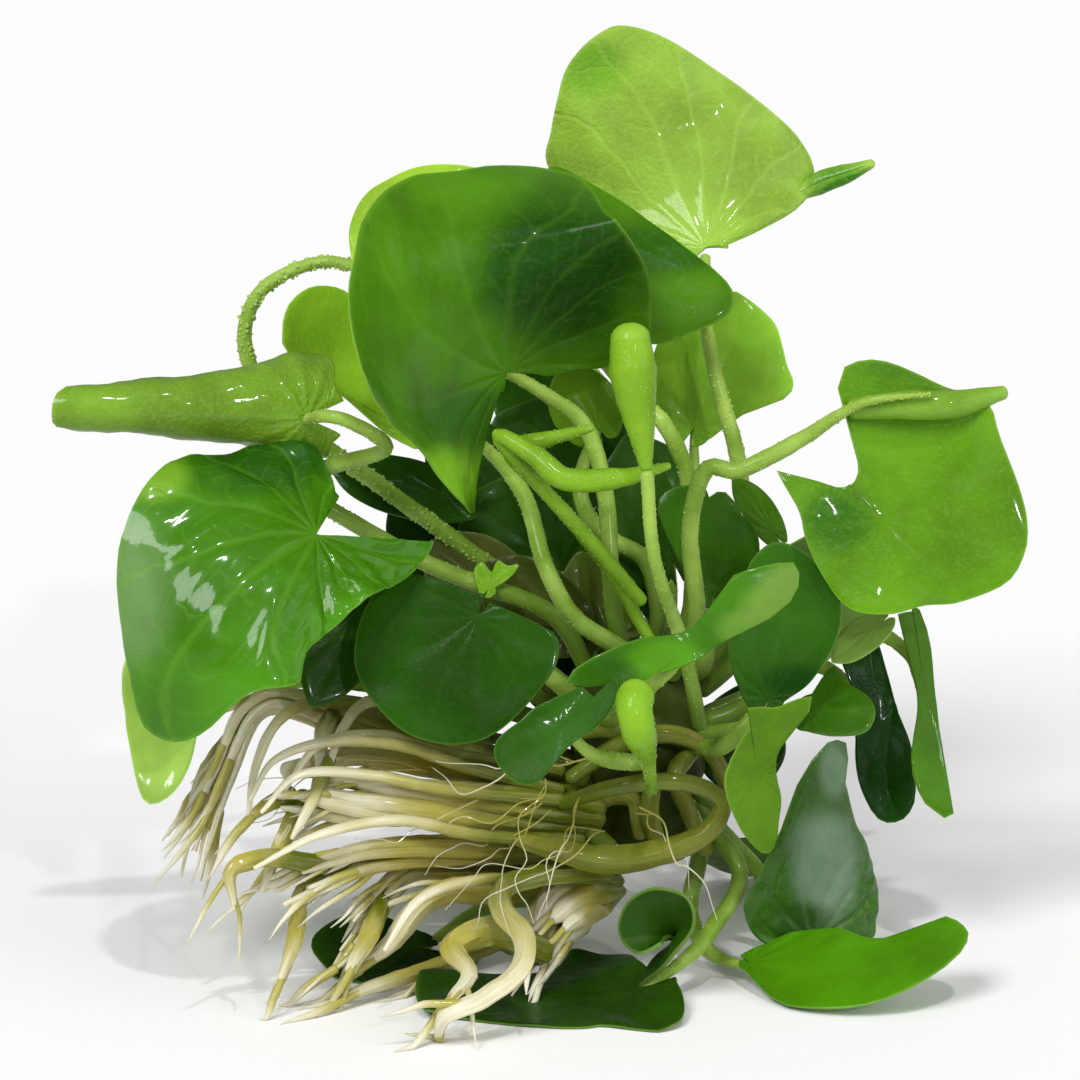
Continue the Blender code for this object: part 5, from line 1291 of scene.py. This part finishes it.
def add_stem(shape, blade, places, ends, number, seed, warty, taper):
    """A stem from the crown to its blade or to its own ends, with warts in the next material.

    taper makes its last radius smaller.
    """
    between = [spot(place) for place in places]
    foot, up = blade.foot()
    ends = [spot(place) for place in ends] if ends else [foot - up * STEM_UNDER]
    route = [crown_exit(between[0], STEM_RADII[0] * MM), *between, *ends]
    radii = np.array([*STEM_RADII[:-1], STEM_RADII[-1] * taper]) * STEM_SLIM
    rings = add_tube(shape, route, radii, number, rough=STEM_ROUGH, seed=seed)
    add_warts(shape, rings, number + 1, seed, begin=WARTS_FROM, **WARTS)
    if warty:
        add_warts(shape, rings, number + 1, seed + 1, BIG_WART_SPACING / warty, BIG_WART_SIZE * warty,
                  BIG_WARTS_FROM)


def grown_blade(blade):
    """The blade, its notch all but closed where the stem meets it in its middle."""
    if blade.get("notch", CLOSED_NOTCH) < CLOSED_NOTCH:
        blade = {**blade, "notch": blade["notch"] * CLOSING}
    return Blade(**blade)


def make_leaf(materials, seed, name, blade, stem, rolls=(), ends=(), taper=1.0):
    """A blade, with any rolled part of its edge, and its stem as a piece apart."""
    colour, quilt, pleat, warty = LEAF_LOOKS.get(name, PLAIN_LOOK)
    blade = grown_blade(blade)
    shape = Shape()
    add_blade(shape, blade, seed, quilt, pleat)
    for places, radii in rolls:
        add_tube(shape, [spot(place) for place in places], radii, 1, rough=STEM_ROUGH, seed=seed)
    make_piece(name + "_blade_fine", shape, leaf_skins(name, colour), [name + "_blade"])
    shape = Shape()
    add_stem(shape, blade, stem, ends, 0, seed, warty, taper)
    skins = [materials["stem"], materials["wart"]]
    make_piece(name + "_stem_fine", shape, skins, [name + "_stem"])


def make_close_leaf(materials, seed, name, blade, stem, curl=None):
    """A blade and its stem as one piece, with a lobe rolled into a cone where it has one."""
    colour, quilt, pleat, warty = LEAF_LOOKS.get(name, PLAIN_LOOK)
    blade = grown_blade(blade)
    shape = Shape()
    add_blade(shape, blade, seed, quilt, pleat)
    add_stem(shape, blade, stem, (), 2, seed, warty, CLOSE_STEM_TAPER)
    if curl:
        add_curl(shape, *curl, seed)
    skins = [*leaf_skins(name, colour), materials["stem"], materials["wart"]]
    make_piece(name + "_fine", shape, skins, [name])


def make_young(materials, seed, name, route, radii):
    """A leaf still rolled, or the stem under one."""
    shape = Shape()
    rings = add_tube(shape, [spot(place) for place in route], radii, 0, seed=seed, **YOUNG_SKIN)
    add_warts(shape, rings, 1, seed, **WARTS)
    skins = [materials["stem" if name.endswith("stem") else "young"], materials["wart"]]
    make_piece(name + "_fine", shape, skins, [name])


def make_root(materials, seed, name, main, branches):
    """A main root with its branches, and the rootlets that leave their outer parts."""
    shape = Shape()
    thick = max(main[1]) > THICK_ROOT
    made = add_bundle(shape, *main, seed, STRANDS if thick else 1)
    for k, branch in enumerate(branches):
        made += add_bundle(shape, *branch, seed + BRANCH_SEED + k)
    if name != "runner":
        each, begin = ROOTLETS_OF_STRAND if thick else ROOTLETS_OF_ROOT
        for k, rings in enumerate(made):
            add_rootlets(shape, rings, each, seed + ROOTLET_SEED + ROOTLET_SEED_STEP * k, begin)
    skins = [materials[ROOT_SKINS.get(name, "root")], materials["rootlet"]]
    make_piece(name + "_fine", shape, skins, [name])


def make_crown(materials):
    """The crown, lumpy and scarred where old stems broke off."""
    centre = spot(CROWN_PLACE)
    height = np.linspace(-1, 1, CROWN_ROWS + 2)[1:-1, None]
    turn = np.arange(CROWN_COLUMNS)[None, :] / CROWN_COLUMNS * 2 * math.pi
    out = np.sqrt(1 - height**2)
    ring = (height + 1) * CROWN_RINGS / 2
    lump = 1 + CROWN_LUMP * np.sin(CROWN_LUMPS * turn + CROWN_LUMP_TURN * ring)
    ways = np.stack([np.cos(turn) * out, np.sin(turn) * out, height + 0 * turn], -1)
    points = centre + ways * CROWN_HALF_SIZE * lump[..., None]
    points = points + ways * (CROWN_SCAR * waves(points, CROWN_SCAR_LENGTH, 5))[..., None]
    ends = centre + np.array([[0, 0, -1], [0, 0, 1]]) * CROWN_HALF_SIZE
    vertices = np.vstack([ends, points.reshape(-1, 3)])
    k = np.arange(CROWN_COLUMNS)
    following = (k + 1) % CROWN_COLUMNS
    top = (CROWN_ROWS - 1) * CROWN_COLUMNS
    low_fan = np.stack([0 * k, 2 + following, 2 + k], -1)
    high_fan = np.stack([0 * k + 1, 2 + top + k, 2 + top + following], -1)
    quads = grid_quads(CROWN_ROWS, CROWN_COLUMNS, 2, closed=True)[:, ::-1]
    shape = Shape()
    shape.add(vertices, np.zeros((len(vertices), 2)), [quads, low_fan, high_fan], 0)
    make_piece("crown_fine", shape, [materials["crown"]], ["crown"])


def make_remnants():
    """The small leaves in the clump's middle."""
    for seed, (name, (colour, pleat, blade)) in enumerate(REMNANTS.items()):
        shape = Shape()
        add_blade(shape, Blade(**blade), REMNANT_SEED + seed, REMNANT_QUILT, pleat)
        make_piece(name, shape, leaf_skins(name, colour), [])


def make_hair_roots(materials):
    """Fine roots in the comb and in front of the crown, and threads finer still."""
    shape = Shape()
    for number, routes, radii in ((1, FINE_ROOTS, FINE_ROOT_RADII), (2, OLIVE_ROOTS, OLIVE_ROOT_RADII)):
        for seed, places in enumerate(routes):
            add_tube(shape, [spot(place) for place in places], radii, number,
                     seed=FINE_ROOT_SEED + seed, **FINE_ROOT_SKIN)
    for seed, places in enumerate(HAIR_ROOTS):
        add_hairs(shape, places, HAIR_SEED + seed)
    skins = [materials[name] for name in ("rootlet", "pale_root", "runner")]
    make_piece("hair_roots", shape, skins, [])


def add_sun(name, away, width, strength):
    """Light from one side: away points to it, and width is in degrees."""
    light = bpy.data.lights.new(name, "SUN")
    light.angle = math.radians(width)
    light.energy = strength
    lamp = bpy.data.objects.new(name, light)
    lamp.rotation_euler = mathutils.Vector(away).to_track_quat("Z", "Y").to_euler()
    bpy.context.scene.collection.objects.link(lamp)


def make_studio():
    """Floor, lights, sky and camera."""
    scene = bpy.context.scene
    paper = bpy.data.meshes.new("floor")
    corners = [(FLOOR_REACH * x, FLOOR_REACH * y, 0) for x, y in ((-1, -1), (1, -1), (1, 1), (-1, 1))]
    paper.from_pydata(corners, [], [(0, 1, 2, 3)])
    nodes = Nodes("floor_paper")
    grain = nodes.maths("MULTIPLY", nodes.noise(4000.0, 2.0), 0.04)
    paper.materials.append(nodes.finish(nodes.mix(grain, (0.93, 0.93, 0.93, 1), (0.86, 0.86, 0.86, 1)), 0.9))
    ground = bpy.data.objects.new("floor", paper)
    scene.collection.objects.link(ground)
    sky = bpy.data.worlds.new("sky")
    sky.use_nodes = True
    light = sky.node_tree.nodes["Background"].inputs
    light["Color"].default_value = (1, 1, 1, 1)
    light["Strength"].default_value = SKY
    scene.world = sky
    for name, values in SUNS.items():
        add_sun(name, *values)
    scene.view_settings.view_transform = "Standard"
    camera = bpy.data.cameras.new("camera")
    camera.sensor_width = SENSOR_WIDTH
    camera.lens = SENSOR_WIDTH * EYE_DISTANCE / (PICTURE_SIDE * UNIT)
    eye = bpy.data.objects.new("camera", camera)
    turned = mathutils.Matrix(np.array([RIGHT, ABOVE, -LOOK]).T.tolist()).to_4x4()
    eye.matrix_world = mathutils.Matrix.Translation(MIDDLE - LOOK * EYE_DISTANCE) @ turned
    scene.collection.objects.link(eye)
    scene.camera = eye


def main():
    materials = make_materials()
    seed = 1
    for make, pieces in ((make_leaf, LEAVES), (make_close_leaf, CLOSE_LEAVES), (make_young, YOUNG_LEAVES)):
        for name, piece in pieces.items():
            make(materials, seed, name, **piece)
            seed += SEED_STEP
    for name, root in ROOTS.items():
        make_root(materials, ROOT_SEED + seed * ROOT_SEED_STEP, name, **root)
        seed += SEED_STEP
    make_crown(materials)
    make_remnants()
    make_hair_roots(materials)
    make_studio()


main()
